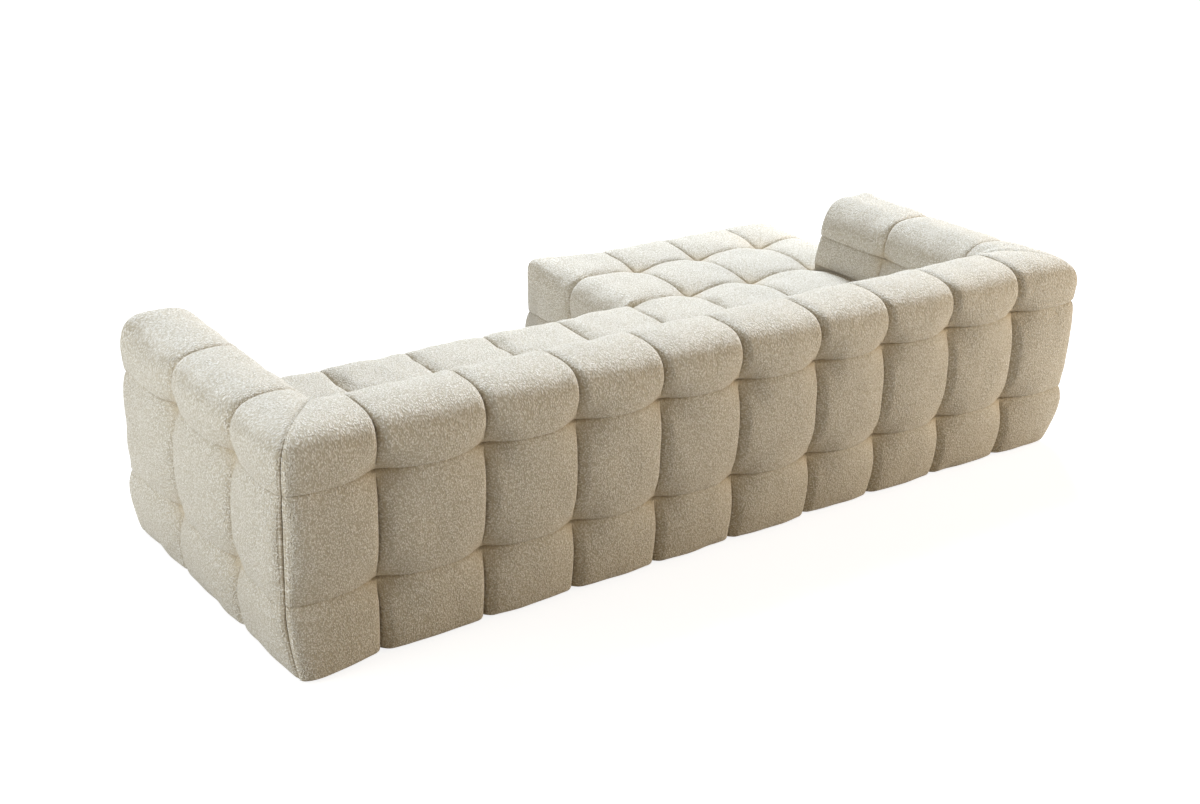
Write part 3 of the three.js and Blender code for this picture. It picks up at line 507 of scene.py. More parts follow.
def wall_section(sizes, look, thickness):
    """Section of a wall: seam-level points, outward directions, rise and fullness of the cloth on them."""
    rows = wall_rows(sizes, thickness)
    whole = np.concatenate([rows[0], *[row[1:] for row in rows[1:]]])
    starts = np.cumsum([0.0, *[travelled(row)[-1] for row in rows]])
    runs, row_floor, seam_distance = [], [], []
    for i, (low, high, count) in enumerate(zip(starts[:-1], starts[1:], WALL_ROW_COUNTS)):
        run = low + gathered(count)[(1 if i else 0):] * (high - low)
        from_low, from_high = run - low, high - run
        lower = dipped(from_low, look.above_reach, look)
        upper = dipped(from_high, look.below_reach, look)
        if i == 0:
            lower = raised(from_low, look.hem_reach, look.hem_floor)
            roll = look.hem_roll * (1 - lip(from_low, look.hem_roll))
            from_low = np.full_like(run, np.inf)
        if i == len(rows) - 1:
            upper = lip(from_high, look.hem_reach)
            from_high = np.full_like(run, np.inf)
        runs.append(run)
        row_floor.append(lower * upper)
        seam_distance.append(np.minimum(from_low, from_high))
    run = np.concatenate(runs)
    points = at_length(whole, run)
    hem = np.clip(1 - run / starts[1], 0, 1) ** 2
    ahead = at_length(whole, np.clip(run + NORMAL_REACH, 0, starts[-1]))
    behind = at_length(whole, np.clip(run - NORMAL_REACH, 0, starts[-1]))
    tangent = ahead - behind
    tangent /= np.linalg.norm(tangent, axis=1)[:, None]
    normal = np.column_stack([-tangent[:, 1], tangent[:, 0]])
    face_bulge = np.where(normal[:, 0] < 0, look.wall_bulge, look.inner_bulge)
    face_floor = np.where(normal[:, 0] < 0, 0.0, look.inner_floor)
    upright = normal[:, 0] ** 2
    return SimpleNamespace(
        points=points, normal=normal, full=np.concatenate(row_floor), seam=np.concatenate(seam_distance),
        run=run, hem=hem, roll=np.concatenate([roll, np.zeros(len(run) - len(roll))]),
        rise=look.top_bulge + upright * (face_bulge - look.top_bulge),
        floor=look.top_floor + upright * (face_floor - look.top_floor))


def wall_surface(sizes, look, wall):
    """Rings of points along a wall: place along it, depth and height, and the cloth place and painted seam
    shade of each.
    """
    section = wall_section(sizes, look, wall.thickness)
    slope = wall.other / wall.thickness
    spread = np.random.default_rng(look.weave_seed + wall.thread).uniform(-1, 1, len(wall.seams))
    rings, cloth = [], []
    last = len(wall.seams) - 1
    leaning, rising = section.normal.T
    for i, seam in enumerate(wall.seams):
        start = 0.0 if i == 0 else wall.seams[i - 1]
        width = seam - start
        for t in gathered(look.rows_per_panel)[(1 if i else 0):]:
            from_start, from_end = t * width, (1 - t) * width
            travel = (start + from_start) / wall.seams[-1]
            if i == 0:
                low = raised(from_start, CORNER_REACH, wall.corner_floor)
                start_tuft = np.inf
            else:
                low = shoulder(from_start, width, section.floor, look)
                start_tuft = from_start
            if i == last and wall.open_front:
                high = raised(from_end, look.front_reach, look.front_floor)
                end_tuft = np.inf
                ear = wall.ear * fade(from_end, look.ear_reach)
            else:
                high = shoulder(from_end, width, section.floor, look)
                end_tuft = from_end
                ear = 0.0
            across = min(start_tuft, end_tuft)
            full = low * high * section.full * tuft(across, section.seam, look)
            full = full * arched(across, section.seam, look.arch_depth, look)
            level = np.interp(travel, (0, 0.6, 1), wall.top) * np.clip(rising, 0, 1) ** 2
            corner = 4 * ear * (leaning * rising) ** 2 * (rising > 0) * (leaning < 0)
            side_groove = look.crease_depth * np.exp(-across / look.crease_width) * (section.floor > 0.01)
            if i == 0:
                side_groove = side_groove + look.welt_depth * fade(from_start - look.welt_place, WELT_WIDTH)
            blend = lip(start + from_start, wall.seams[0])
            hem_inset = wall.inset + (wall.end_inset - wall.inset) * travel
            inset = wall.corner_inset + (hem_inset - wall.corner_inset) * blend
            fill = (1 + (wall.fill - 1) * blend) * (1 + look.panel_spread * spread[i])
            rise = section.rise * fill + look.foot_bulge * section.hem
            lift = full * (rise - section.roll)
            lift = lift + full * sway(start + from_start + wall.thread, section.run, look) + level + corner
            sewn = groove(across, section.seam, look) + side_groove
            lift = lift - sewn - inset * section.hem
            s = section.points[:, 0] + leaning * lift
            z = section.points[:, 1] + rising * lift
            first = s * slope + sizes.fit_gap if i == 0 else start
            a = first + t * (seam - first)
            rings.append(np.column_stack([np.broadcast_to(a, s.shape), s, z]))
            # Painted shade: how far the cloth falls into its seams and grooves, by which its colour is
            # darkened
            depth = np.clip(1 - full + GROOVE_SHADE * sewn, 0, 1)
            cloth.append(np.column_stack([rings[-1][:, 0], section.run, depth]))
    rings = np.array(rings)
    return rings + wall_cloth(rings, section, look), np.array(cloth)


def inflate(points, faces, held, look):
    """Blows up cloth that is sewn down where it is held, and gives how far each of its points moves."""
    total = np.zeros_like(points)
    faces = np.asarray(faces)
    faces = faces[~held[faces].all(axis=1)]
    used, order = np.unique(faces, return_inverse=True)
    start = points[used]
    made = new_object("cloth", start, order.reshape(faces.shape).tolist())
    pinned = made.vertex_groups.new(name="held")
    pinned.add(np.flatnonzero(held[used]).tolist(), 1.0, "REPLACE")
    cloth = made.modifiers.new("cloth", "CLOTH")
    settings = cloth.settings
    settings.vertex_group_mass = "held"
    settings.quality = 4
    settings.mass = 0.25
    settings.air_damping = 4.0
    settings.tension_stiffness = look.cloth_tension
    settings.compression_stiffness = look.cloth_tension
    settings.shear_stiffness = look.cloth_tension / 3
    settings.bending_stiffness = look.cloth_bending
    settings.shrink_min = -look.cloth_ease
    settings.use_pressure = True
    settings.uniform_pressure_force = look.cloth_pressure
    settings.effector_weights.gravity = 0.0
    cloth.collision_settings.use_collision = False
    cloth.point_cache.frame_start = 1
    cloth.point_cache.frame_end = CLOTH_FRAMES
    for step in range(1, CLOTH_FRAMES + 1):
        bpy.context.scene.frame_set(step)
    evaluated = made.evaluated_get(bpy.context.evaluated_depsgraph_get())
    blown = np.empty(start.size, np.float32)
    evaluated.data.vertices.foreach_get("co", blown)
    moved = blown.reshape(-1, 3) - start
    mesh = made.data
    bpy.data.objects.remove(made)
    bpy.data.meshes.remove(mesh)
    bpy.context.scene.frame_set(1)
    reach = np.linalg.norm(moved, axis=1)
    total[used] = moved * (np.minimum(reach, look.cloth_cap) / np.maximum(reach, 1e-9))[:, None]
    return total


def spread_out(moved, rows, columns, row_count, column_count):
    """Movement of a coarse grid spread over the fine grid that it was taken from, and eased."""
    wide = np.empty((len(rows), column_count, 3))
    full = np.empty((row_count, column_count, 3))
    for axis in range(3):
        for i in range(len(rows)):
            wide[i, :, axis] = np.interp(np.arange(column_count), columns, moved[i, :, axis])
        for j in range(column_count):
            full[:, j, axis] = np.interp(np.arange(row_count), rows, wide[:, j, axis])
    for _ in range(4):
        full[1:-1] = (full[:-2] + 2 * full[1:-1] + full[2:]) / 4
        full[:, 1:-1] = (full[:, :-2] + 2 * full[:, 1:-1] + full[:, 2:]) / 4
    return full


def thinned(count, step, kept):
    """Every few grid lines of a run, with the ones that must be kept."""
    return np.array(sorted({*range(0, count, step), count - 1, *kept}))


def wall_cloth(rings, section, look):
    """How far the cloth of a wall moves from its drawn shape when it is blown up."""
    count, size = rings.shape[:2]
    seam_rows = np.flatnonzero(section.seam < 1e-9)
    panels = range(0, count, look.rows_per_panel)
    rows, columns = thinned(count, look.cloth_step, panels), thinned(size, look.cloth_step, seam_rows)
    coarse = rings[np.ix_(rows, columns)]
    held = np.isin(rows, [*panels, count - 1])[:, None] | np.isin(columns, [0, *seam_rows, size - 1])[None, :]
    order = np.arange(coarse.shape[0] * coarse.shape[1]).reshape(coarse.shape[:2])
    faces = np.stack([order[:-1, :-1], order[1:, :-1], order[1:, 1:], order[:-1, 1:]], axis=-1).reshape(-1, 4)
    i, j = len(rows) // 2, np.searchsorted(columns, seam_rows[0]) + 5
    across = np.cross(coarse[i + 1, j] - coarse[i, j], coarse[i, j + 1] - coarse[i, j])
    if across[1:] @ section.normal[columns[j]] < 0:
        faces = faces[:, ::-1]
    moved = inflate(coarse.reshape(-1, 3), faces.tolist(), held.ravel(), look)
    return spread_out(moved.reshape(coarse.shape), rows, columns, count, size)


def block_cloth(points, keys, panels, look):
    """The same for a seat block; its underside and its rear stay as they are."""
    counts = keys.max(axis=0) + 1
    lines = [thinned(count, look.cloth_step, range(0, count, panel)) for count, panel in zip(counts, panels)]
    coarse_keys, faces = block_lattice([len(line) for line in lines])
    fine = {tuple(key): i for i, key in enumerate(keys.tolist())}
    places = np.column_stack([lines[k][coarse_keys[:, k]] for k in range(3)])
    chosen = np.array([fine[tuple(key)] for key in places.tolist()])
    on_seam = np.column_stack([places[:, k] % panels[k] == 0 for k in range(3)])
    held = on_seam.sum(axis=1) > 1
    held |= (places[:, 2] == 0) | (places[:, 1] == 0)
    moved = inflate(points[chosen], faces, held, look)
    total = np.zeros_like(points)
    index = {tuple(key): i for i, key in enumerate(places.tolist())}
    for axis in range(3):
        first, second = (axis + 1) % 3, (axis + 2) % 3
        for end in (0, counts[axis] - 1):
            grid = np.empty((len(lines[first]), len(lines[second]), 3))
            for i, row in enumerate(lines[first]):
                for j, column in enumerate(lines[second]):
                    key = [0, 0, 0]
                    key[axis], key[first], key[second] = int(end), int(row), int(column)
                    grid[i, j] = moved[index[tuple(key)]]
            wide = spread_out(grid, lines[first], lines[second], counts[first], counts[second])
            here = keys[:, axis] == end
            total[here] = wide[keys[here, first], keys[here, second]]
    return total


def crowned_end(outline, crown, spacing):
    """Flat outline filled with triangles that rise to a soft crown: points, their rise, triangles."""
    low, high = outline.min(axis=0), outline.max(axis=0)
    grid = np.stack(np.meshgrid(
        np.arange(low[0], high[0], spacing), np.arange(low[1], high[1], spacing)), axis=-1).reshape(-1, 2)
    start, step = outline, np.roll(outline, -1, axis=0) - outline
    offset = grid[:, None, :] - start[None, :, :]
    along = np.clip((offset * step).sum(-1) / np.maximum((step ** 2).sum(-1), 1e-12), 0, 1)
    gap = np.linalg.norm(offset - along[..., None] * step, axis=-1).min(axis=1)
    cross = (start[:, 1] > grid[:, 1:2]) != (np.roll(start[:, 1], -1) > grid[:, 1:2])
    slope = step[:, 0] / np.where(step[:, 1] == 0, 1e-12, step[:, 1])
    inside = (cross & (grid[:, :1] < start[:, 0] + slope * (grid[:, 1:2] - start[:, 1]))).sum(axis=1) % 2 == 1
    keep = inside & (gap > 0.6 * spacing)
    points = np.concatenate([outline, grid[keep]])
    rise = np.concatenate([np.zeros(len(outline)), crown * (1 - np.exp(-gap[keep] / CROWN_REACH))])
    edges = [(i, (i + 1) % len(outline)) for i in range(len(outline))]
    placed, _, triangles, origin, _, _ = delaunay_2d_cdt(
        [Vector(point) for point in points], edges, [], 1, 1e-7)
    source = [group[0] if group else 0 for group in origin]
    return np.array([tuple(point) for point in placed]), rise[source], triangles


def stand_in_plan(points, sizes, look, plan, wall):
    """Places of a wall (along, depth, height) as points of the frame, its corner's foot drawn aside."""
    points = np.array([(*wall.place(a, s), z) for a, s, z in points])
    corner = np.array(wall.place(0, 0))
    foot = near_hem(points[:, 2], sizes) ** 1.5
    foot = foot * fade(np.linalg.norm(points[:, :2] - corner, axis=1), look.shift_reach)
    points[:, :2] += foot[:, None] * np.array(wall.corner_shift)
    return to_frame(points, sizes, plan)


def wall_cover(name, sizes, look, plan, wall, rings, cloth):
    """Closed quilted wall from its mitred corner to its end, before its frame pocket is cut."""
    ring_size = rings.shape[1] + 2
    closing = np.array([[wall.thickness, sizes.hem_height], [sizes.skirt, sizes.hem_height]])
    slope = wall.other / wall.thickness
    vertices, cloth_places = [], []
    for i, ring in enumerate(rings):
        reached = ring[0, 0]
        under = []
        for s, z in closing:
            first = s * slope + sizes.fit_gap
            t = i / look.rows_per_panel
            under.append((max(first, reached) if t >= 1 else first + t * (wall.seams[0] - first), s, z))
        vertices.extend(ring.tolist() + under)
        cloth_places.extend(cloth[i].tolist() + [cloth[i][-1].tolist(), cloth[i][0].tolist()])
    faces = []
    for i in range(len(rings) - 1):
        base = i * ring_size
        for j in range(ring_size):
            k = (j + 1) % ring_size
            faces.append((base + j, base + k, base + ring_size + k, base + ring_size + j))
    faces.append(tuple(range(ring_size)))
    last = (len(rings) - 1) * ring_size
    if wall.open_front:
        outline = np.array(vertices[last:last + ring_size])[:, 1:]
        points, rise, triangles = crowned_end(outline, FRONT_CROWN, FRONT_GRID)
        base = len(vertices)
        vertices.extend(np.column_stack([wall.seams[-1] + rise, points]).tolist())
        # Painted shade round the rim of an arm's front, fading towards its crown
        cloth_places.extend(np.column_stack([points, 0.5 * np.exp(-rise / RIM_SHADE)]).tolist())
        faces.extend(tuple(base + k for k in triangle) for triangle in triangles)
    else:
        faces.append(tuple(range(last + ring_size - 1, last - 1, -1)))
    made = new_object(name, stand_in_plan(vertices, sizes, look, plan, wall), faces, cloth_places)
    turn_outward(made)
    return made


def stitched_line(rings, wall, sizes, look, fastening, plan):
    """Line on a wall's cover that is sewn from outside: round an arm's front, or beside a back's mitre."""
    if wall.open_front:
        gaps = wall.seams[-1] - rings[:, 0, 0] - fastening.welt_from_front
    else:
        first = rings[:look.rows_per_panel, rings.shape[1] // 3, 0]
        gaps = first - first[0] - look.welt_place
    line = rings[np.argmin(np.abs(gaps))]
    return stand_in_plan(line[6:-WALL_ROW_COUNTS[-1]], sizes, look, plan, wall)


def wall_hollows(sizes, wall):
    """Room under a wall's deck and the pocket for its frame, as outlines in plan with their heights."""
    place, slope = wall.place, wall.other / wall.thickness
    inner = wall.thickness - sizes.inner_foam
    lined = wall.seams[-1] - (sizes.skirt if wall.open_front else sizes.liner)
    pocket = [place(sizes.skirt * slope + sizes.liner, sizes.skirt), place(lined, sizes.skirt),
              place(lined, inner), place(inner * slope + sizes.liner, inner)]
    room = box_plan(-CUT_REACH, wall.below_end, sizes.skirt, wall.thickness + CUT_REACH)
    return [
        ([place(a, s) for a, s in room], (sizes.hem_height - CUT_BELOW, sizes.deck_height)),
        (pocket, (sizes.deck_height - CUT_ABOVE, sizes.wall_height - sizes.top_foam)),
    ]


def axis_rise(value, seams, low_free, high_free, floor, look):
    """Fullness along one axis of a seat block, and the distance to its nearest sewn seam."""
    cell = np.clip(np.searchsorted(seams, value, side="right") - 1, 0, len(seams) - 2)
    low, high = np.array(seams)[cell], np.array(seams)[cell + 1]
    width = high - low
    from_low, from_high = np.clip(value - low, 0, None), np.clip(high - value, 0, None)
    free_low = (cell == 0) & low_free
    free_high = (cell == len(seams) - 2) & high_free
    low_rise = np.where(free_low, 1.0, shoulder(from_low, width, floor, look))
    high_rise = np.where(free_high, 1.0, shoulder(from_high, width, floor, look))
    distance = np.minimum(np.where(free_low, np.inf, from_low), np.where(free_high, np.inf, from_high))
    return low_rise * high_rise, distance


def block_axis(seams, count):
    """Samples of one axis of a seat block, gathered at its seams."""
    cells = [low + gathered(count)[1:] * (high - low) for low, high in zip(seams[:-1], seams[1:])]
    return np.concatenate([[seams[0]], *cells])


def seat_block(name, sizes, look, plan, u_seams, v_seams, left_from, free_high_u):
    """Closed quilted block of a seat; left_from is where its low-u side begins to stand free."""
    panels = look.rows_per_panel
    samples = [
        block_axis(u_seams, panels),
        block_axis(v_seams, panels),
        block_axis([sizes.hem_height, sizes.lower_seam, sizes.seat_height], BORDER_ROWS),
    ]
    keys, faces = block_lattice([len(axis) for axis in samples])
    value = np.column_stack([samples[k][keys[:, k]] for k in range(3)])
    points, cloth = settle_block(value, sizes, look, u_seams, v_seams, left_from, free_high_u)
    points = points + block_cloth(points, keys, (panels, panels, BORDER_ROWS), look)
    made = new_object(name, to_frame(points, sizes, plan), faces, cloth)
    turn_outward(made)
    return made


def block_lattice(counts):
    """Grid keys and faces of the six sides of a block."""
    index, faces, keys = {}, [], []

    def vertex(key):
        if key not in index:
            index[key] = len(keys)
            keys.append(key)
        return index[key]

    for axis in range(3):
        first, second = (axis + 1) % 3, (axis + 2) % 3
        for end in (0, counts[axis] - 1):
            for i in range(counts[first] - 1):
                for j in range(counts[second] - 1):
                    corners = []
                    for di, dj in ((0, 0), (1, 0), (1, 1), (0, 1)):
                        key = [0, 0, 0]
                        key[axis], key[first], key[second] = end, i + di, j + dj
                        corners.append(vertex(tuple(key)))
                    faces.append(tuple(corners if end else reversed(corners)))
    return np.array(keys), faces


def settle_block(value, sizes, look, u_seams, v_seams, left_from, free_high_u):
    """Moves the points of a plain block onto its rolled, quilted surface."""
    radius = sizes.seat_edge_radius
    u, v, z = value.T
    free_left = np.zeros_like(v)
    if left_from is not None:
        free_left = np.clip((v - left_from + SPLIT_BLEND / 2) / SPLIT_BLEND, 0, 1)
    left_radius = np.maximum(radius * free_left ** 2 * (3 - 2 * free_left), 1e-6)
    right_radius = sizes.seat_side_radius if free_high_u else 1e-6
    core = np.column_stack([
        np.clip(u, u_seams[0] + left_radius, u_seams[-1] - right_radius),
        np.minimum(v, v_seams[-1] - radius),
        np.minimum(z, sizes.seat_height - radius),
    ])
    out = value - core
    side_radius = np.where(out[:, 0] < 0, left_radius, right_radius)
    power = np.where(out[:, 0] < 0, look.corner_power, look.side_power)
    flat = (np.abs(out[:, 0] / side_radius) ** power + np.abs(out[:, 1] / radius) ** power) ** (1 / power)
    peak = np.exp(-((u - u_seams[0]) / look.peak_reach) ** 2 - ((v_seams[-1] - v) / look.peak_reach) ** 2)
    peak = peak * (left_from is not None)
    square = 2 + (look.peak_power - 2) * peak
    reach = (flat ** square + np.abs(out[:, 2] / radius) ** square) ** (1 / square)
    free = reach > 1e-9
    unit = out / np.maximum(np.linalg.norm(out, axis=1), 1e-9)[:, None]
    norm = (2 + (look.corner_power - 2) * peak)[:, None]
    stretch = np.maximum(np.sum(np.abs(unit) ** norm, axis=1), 1e-9) ** (-1 / norm[:, 0])
    radii = np.column_stack([side_radius, np.full_like(u, radius), np.full_like(u, radius)])
    outermost = np.clip(np.max(np.abs(out) / radii, axis=1), 0, 1)
    rounded = core + out * (outermost / np.where(free, reach, 1))[:, None]
    upward = unit[:, 2] ** 2
    from_edge = np.clip(v_seams[-1] - v, 0, None) + np.clip(sizes.seat_height - z, 0, None)
    edge = fade(from_edge, look.edge_reach)
    floor = look.seat_floor * upward
    floor = floor + (look.edge_floor - floor) * edge
    across, u_gap = axis_rise(u, u_seams, left_from is not None and (v > left_from), free_high_u, floor, look)
    along, v_gap = axis_rise(v, v_seams, False, True, floor, look)
    z_gap = np.abs(z - sizes.lower_seam)
    dip_reach = np.where(z < sizes.lower_seam, look.below_reach, look.above_reach)
    from_hem = z - sizes.hem_height
    upright = dipped(z_gap, dip_reach, look) * raised(from_hem, look.hem_reach, look.hem_floor)
    border = 1 - upward
    nearest = np.minimum(u_gap, v_gap)
    pull = tuft(u_gap, v_gap, look) * tuft(u_gap, z_gap, look) * tuft(v_gap, z_gap, look)
    full = across * along * (upward + border * upright) * pull
    full = full * arched(nearest, z_gap, border * look.arch_depth, look)
    full = full * arched(v_gap, u_gap, upward * look.seat_arch, look)
    full = full * arched(u_gap, v_gap, upward * look.seat_arch, look)
    bulge = look.border_bulge + upward * (look.seat_bulge - look.border_bulge)
    grooves = border * groove(nearest, z_gap, look)
    grooves = grooves + upward * (groove(v_gap, u_gap, look) + groove(u_gap, v_gap, look))
    side = np.clip(-unit[:, 0], 0, 1)
    inset = sizes.hem_inset + side * (sizes.split_hem_inset - sizes.hem_inset)
    roll = look.hem_roll * (1 - lip(from_hem, look.hem_roll))
    lift = full * stretch * (bulge + sway(u, v + z, look) - roll) - grooves - inset * near_hem(z, sizes) ** 2
    points = np.where(free[:, None], rounded + unit * (lift * outermost ** 2)[:, None], value)
    fall = sizes.seat_height - z
    # Painted shade: how far the cloth falls into its seams and grooves, by which its colour is darkened
    depth = np.where(free, np.clip(1 - full + GROOVE_SHADE * grooves, 0, 1), 0)
    cloth = np.column_stack([u + fall * unit[:, 0], v + fall * unit[:, 1], depth])
    return points, cloth


class Wiring:
    """Short way to add and link the nodes of one tree."""

    def __init__(self, tree):
        self.tree = tree

    def add(self, kind, settings=None, **inputs):
        node = self.tree.nodes.new(kind)
        for key, value in (settings or {}).items():
            setattr(node, key, value)
        for key, value in inputs.items():
            self.set(node.inputs[key.replace("_", " ")], value)
        return node

    def set(self, socket, value):
        if isinstance(value, bpy.types.NodeSocket):
            self.tree.links.new(value, socket)
        else:
            socket.default_value = value

    def fill(self, kind, *values, **settings):
        """First output of a node whose first inputs are given in order."""
        node = self.add(kind, settings)
        for socket, value in zip(node.inputs, values):
            self.set(socket, value)
        return node.outputs[0]

    def math(self, operation, first, second=0.0):
        return self.fill("ShaderNodeMath", first, second, operation=operation)

    def times(self, first, second):
        return self.math("MULTIPLY", first, second)

    def plus(self, first, second):
        return self.math("ADD", first, second)

    def seen(self):
        """1 for rays from the camera or from a mirror-like face, else 0."""
        rays = self.add("ShaderNodeLightPath").outputs
        return self.math("MAXIMUM", rays["Is Camera Ray"], rays["Is Glossy Ray"])


class Nodes(Wiring):
    """The nodes of one material."""

    def __init__(self, name):
        self.material = bpy.data.materials.new(name)
        self.material.use_nodes = True
        super().__init__(self.material.node_tree)
        self.shader = self.tree.nodes["Principled BSDF"]

    def mix(self, factor, first, second):
        node = self.add("ShaderNodeMix", {"data_type": "RGBA"}, Factor=factor)
        self.set(node.inputs[6], first)
        self.set(node.inputs[7], second)
        return node.outputs[2]

    def stretch(self, vector, scale):
        return self.add("ShaderNodeMapping", Vector=vector, Scale=scale).outputs["Vector"]

    def place(self, scale=(1, 1, 1)):
        """Object coordinates, stretched along each axis."""
        return self.stretch(self.add("ShaderNodeTexCoord").outputs["Object"], scale)

    def split(self, vector):
        return self.add("ShaderNodeSeparateXYZ", Vector=vector).outputs

    def noise(self, vector, scale, detail=2.0, roughness=0.5):
        node = self.add("ShaderNodeTexNoise", Vector=vector, Scale=scale, Detail=detail, Roughness=roughness)
        return node.outputs["Fac"]

    def cells(self, vector, scale, settings=None, **inputs):
        """Distance to the nearest of many scattered points."""
        node = self.add("ShaderNodeTexVoronoi", settings, Vector=vector, Scale=scale, **inputs)
        return node.outputs["Distance"]

    def remap(self, value, low, high):
        """0 where a value is low, 1 where it is high."""
        return self.add("ShaderNodeMapRange", Value=value, From_Min=low, From_Max=high).outputs[0]

    def bump(self, height, distance):
        node = self.add("ShaderNodeBump", Height=height, Distance=distance, Strength=1.0)
        self.set(self.shader.inputs["Normal"], node.outputs["Normal"])

    def finish(self, **values):
        for key, value in values.items():
            self.set(self.shader.inputs[key.replace("_", " ")], value)
        return self.material


def rgba(tint, factor=1.0):
    return (*(part * factor for part in tint), 1.0)


MADE = {}


def once(maker):
    """Makes a material or a node group the first time it is asked for, for whichever piece."""
    def found(*_):
        name = maker.__name__.removesuffix("_material")
        if name not in MADE:
            MADE[name] = maker(name)
        return MADE[name]
    return found


@once
def boucle_material(name):
    """Looped wool: round loops with a faint upright nap, with painted shade in the pits between the loops and
    warm painted shade in the seams.
    """
    look = bpy.context.scene.boucle_look
    nodes = Nodes(name)
    cloth = nodes.split(nodes.add("ShaderNodeAttribute", {"attribute_name": "cloth_place"}).outputs["Vector"])
    flat = nodes.fill("ShaderNodeCombineXYZ", cloth["X"], cloth["Y"])
    place = nodes.stretch(flat, (1.0, look.nap, 1.0))
    bend = nodes.add("ShaderNodeTexNoise", Vector=place, Scale=90.0, Detail=2.0).outputs["Color"]
    warp = nodes.fill("ShaderNodeVectorMath", bend, (LOOP_BEND,) * 3, place, operation="MULTIPLY_ADD")
    loops = nodes.cells(warp, 1 / look.loop_size, {"feature": "SMOOTH_F1"}, Smoothness=0.25)
    tops = nodes.math("SUBTRACT", 1.0, loops)
    fuzz = nodes.noise(place, 1.3 / look.loop_size, 2.0, 0.6)
    height = nodes.plus(nodes.times(tops, 0.75), nodes.times(fuzz, 0.5))
    # Painted shade: the colour darkens from the loop tops down into the pits between them
    pile = nodes.mix(nodes.remap(height, 0.55, 0.92), rgba(look.loop_pit), rgba(look.loop_top))
    # Painted shade: warm, darker colour laid in where the cloth dips into a seam
    deep = nodes.times(nodes.math("POWER", cloth["Z"], 2.4), 0.62)
    nodes.bump(height, look.loop_height)
    return nodes.finish(
        Base_Color=nodes.mix(deep, pile, rgba(look.seam_tint)), Roughness=0.96, Sheen_Weight=0.25,
        Sheen_Roughness=0.55, Specular_IOR_Level=0.15)


@once
def thread_material(name):
    """Plied polyester thread."""
    look = bpy.context.scene.boucle_look
    nodes = Nodes(name)
    twist = nodes.noise(nodes.place(), 900.0, 1.0)
    nodes.bump(twist, 0.0003)
    # The thread's twist runs between the cloth's painted pit shade colour and its loop top colour
    tint = nodes.mix(twist, rgba(look.loop_pit), rgba(look.loop_top))
    return nodes.finish(Base_Color=tint, Roughness=0.55, Sheen_Weight=0.3)


@once
def zinc_material(name):
    """Zinc plating: faint crystals under fine brushing, duller where the tint is darker."""
    zinc = bpy.context.scene.frame_look.zinc
    nodes = Nodes(name)
    crystals = nodes.cells(nodes.place(), 240.0)
    brushing = nodes.noise(nodes.place((1, 1, 0.05)), 900.0, 2.0, 0.6)
    patches = nodes.noise(nodes.place(), 60.0, 3.0, 0.6)
    shade = nodes.times(patches, nodes.plus(crystals, 0.5))
    nodes.bump(brushing, 0.00012)
    rough = nodes.plus(nodes.times(patches, 0.3), 0.22)
    tint = nodes.mix(shade, rgba(zinc), rgba(zinc, 0.72))
    return nodes.finish(Base_Color=tint, Roughness=rough, Metallic=1.0)


@once
def glide_plastic_material(name):
    """Moulded plastic with a fine spark texture, rubbed pale where it stands on the floor."""
    black = bpy.context.scene.frame_look.glide_black
    nodes = Nodes(name)
    spark = nodes.noise(nodes.place(), 2400.0, 2.0, 0.6)
    rub = nodes.noise(nodes.place((1, 0.2, 1)), 420.0, 3.0, 0.7)
    worn = nodes.times(nodes.remap(nodes.split(nodes.place())["Z"], WORN_HEIGHT, 0.0), rub)
    nodes.bump(nodes.plus(spark, nodes.times(worn, 2.0)), 0.0002)
    rough = nodes.plus(nodes.times(worn, 0.35), 0.42)
    return nodes.finish(Base_Color=nodes.mix(worn, rgba(black), rgba(black, 4)), Roughness=rough)


@once
def dust_cloth_material(name):
    """Spunbond cloth: flattened fibres with rows of small heat-sealed dots."""
    black = bpy.context.scene.frame_look.cover_black
    nodes = Nodes(name)
    fibres = nodes.noise(nodes.place((1, 0.25, 1)), 1500.0, 3.0, 0.7)
    crossing = nodes.noise(nodes.place((0.3, 1, 1)), 1300.0, 3.0, 0.7)
    sealed = nodes.remap(nodes.cells(nodes.place(), 520.0, Randomness=0.12), 0.20, 0.34)
    cloudy = nodes.noise(nodes.place(), 45.0, 3.0, 0.6)
    nodes.bump(nodes.plus(nodes.times(fibres, crossing), nodes.times(sealed, 0.5)), 0.0006)
    tint = nodes.mix(nodes.times(cloudy, fibres), rgba(black), rgba(black, 2.4))
    return nodes.finish(Base_Color=tint, Roughness=0.82, Sheen_Weight=0.2)


def box_axes(node):
    """Centre of a frame piece, and its axes from the longest to the thinnest."""
    low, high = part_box(node)
    spans = [high[k] - low[k] for k in range(3)]
    order = sorted(range(3), key=lambda k: -spans[k])
    return (low + high) / 2, order, spans


def along_piece(nodes, node, stretch=1.0):
    """Object coordinates from the middle of a frame piece, stretched along its length."""
    centre, order, _ = box_axes(node)
    scale = [1.0, 1.0, 1.0]
    scale[order[0]] = stretch
    start = [-centre[k] * scale[k] for k in range(3)]
    place = nodes.add("ShaderNodeTexCoord").outputs["Object"]
    return nodes.add("ShaderNodeMapping", Vector=place, Scale=scale, Location=start).outputs["Vector"]


def piece_axis(nodes, node, rank):
    """Distance from a frame piece's middle along its longest (0), second or thinnest (2) axis."""
    return nodes.split(along_piece(nodes, node))[box_axes(node)[1][rank]]


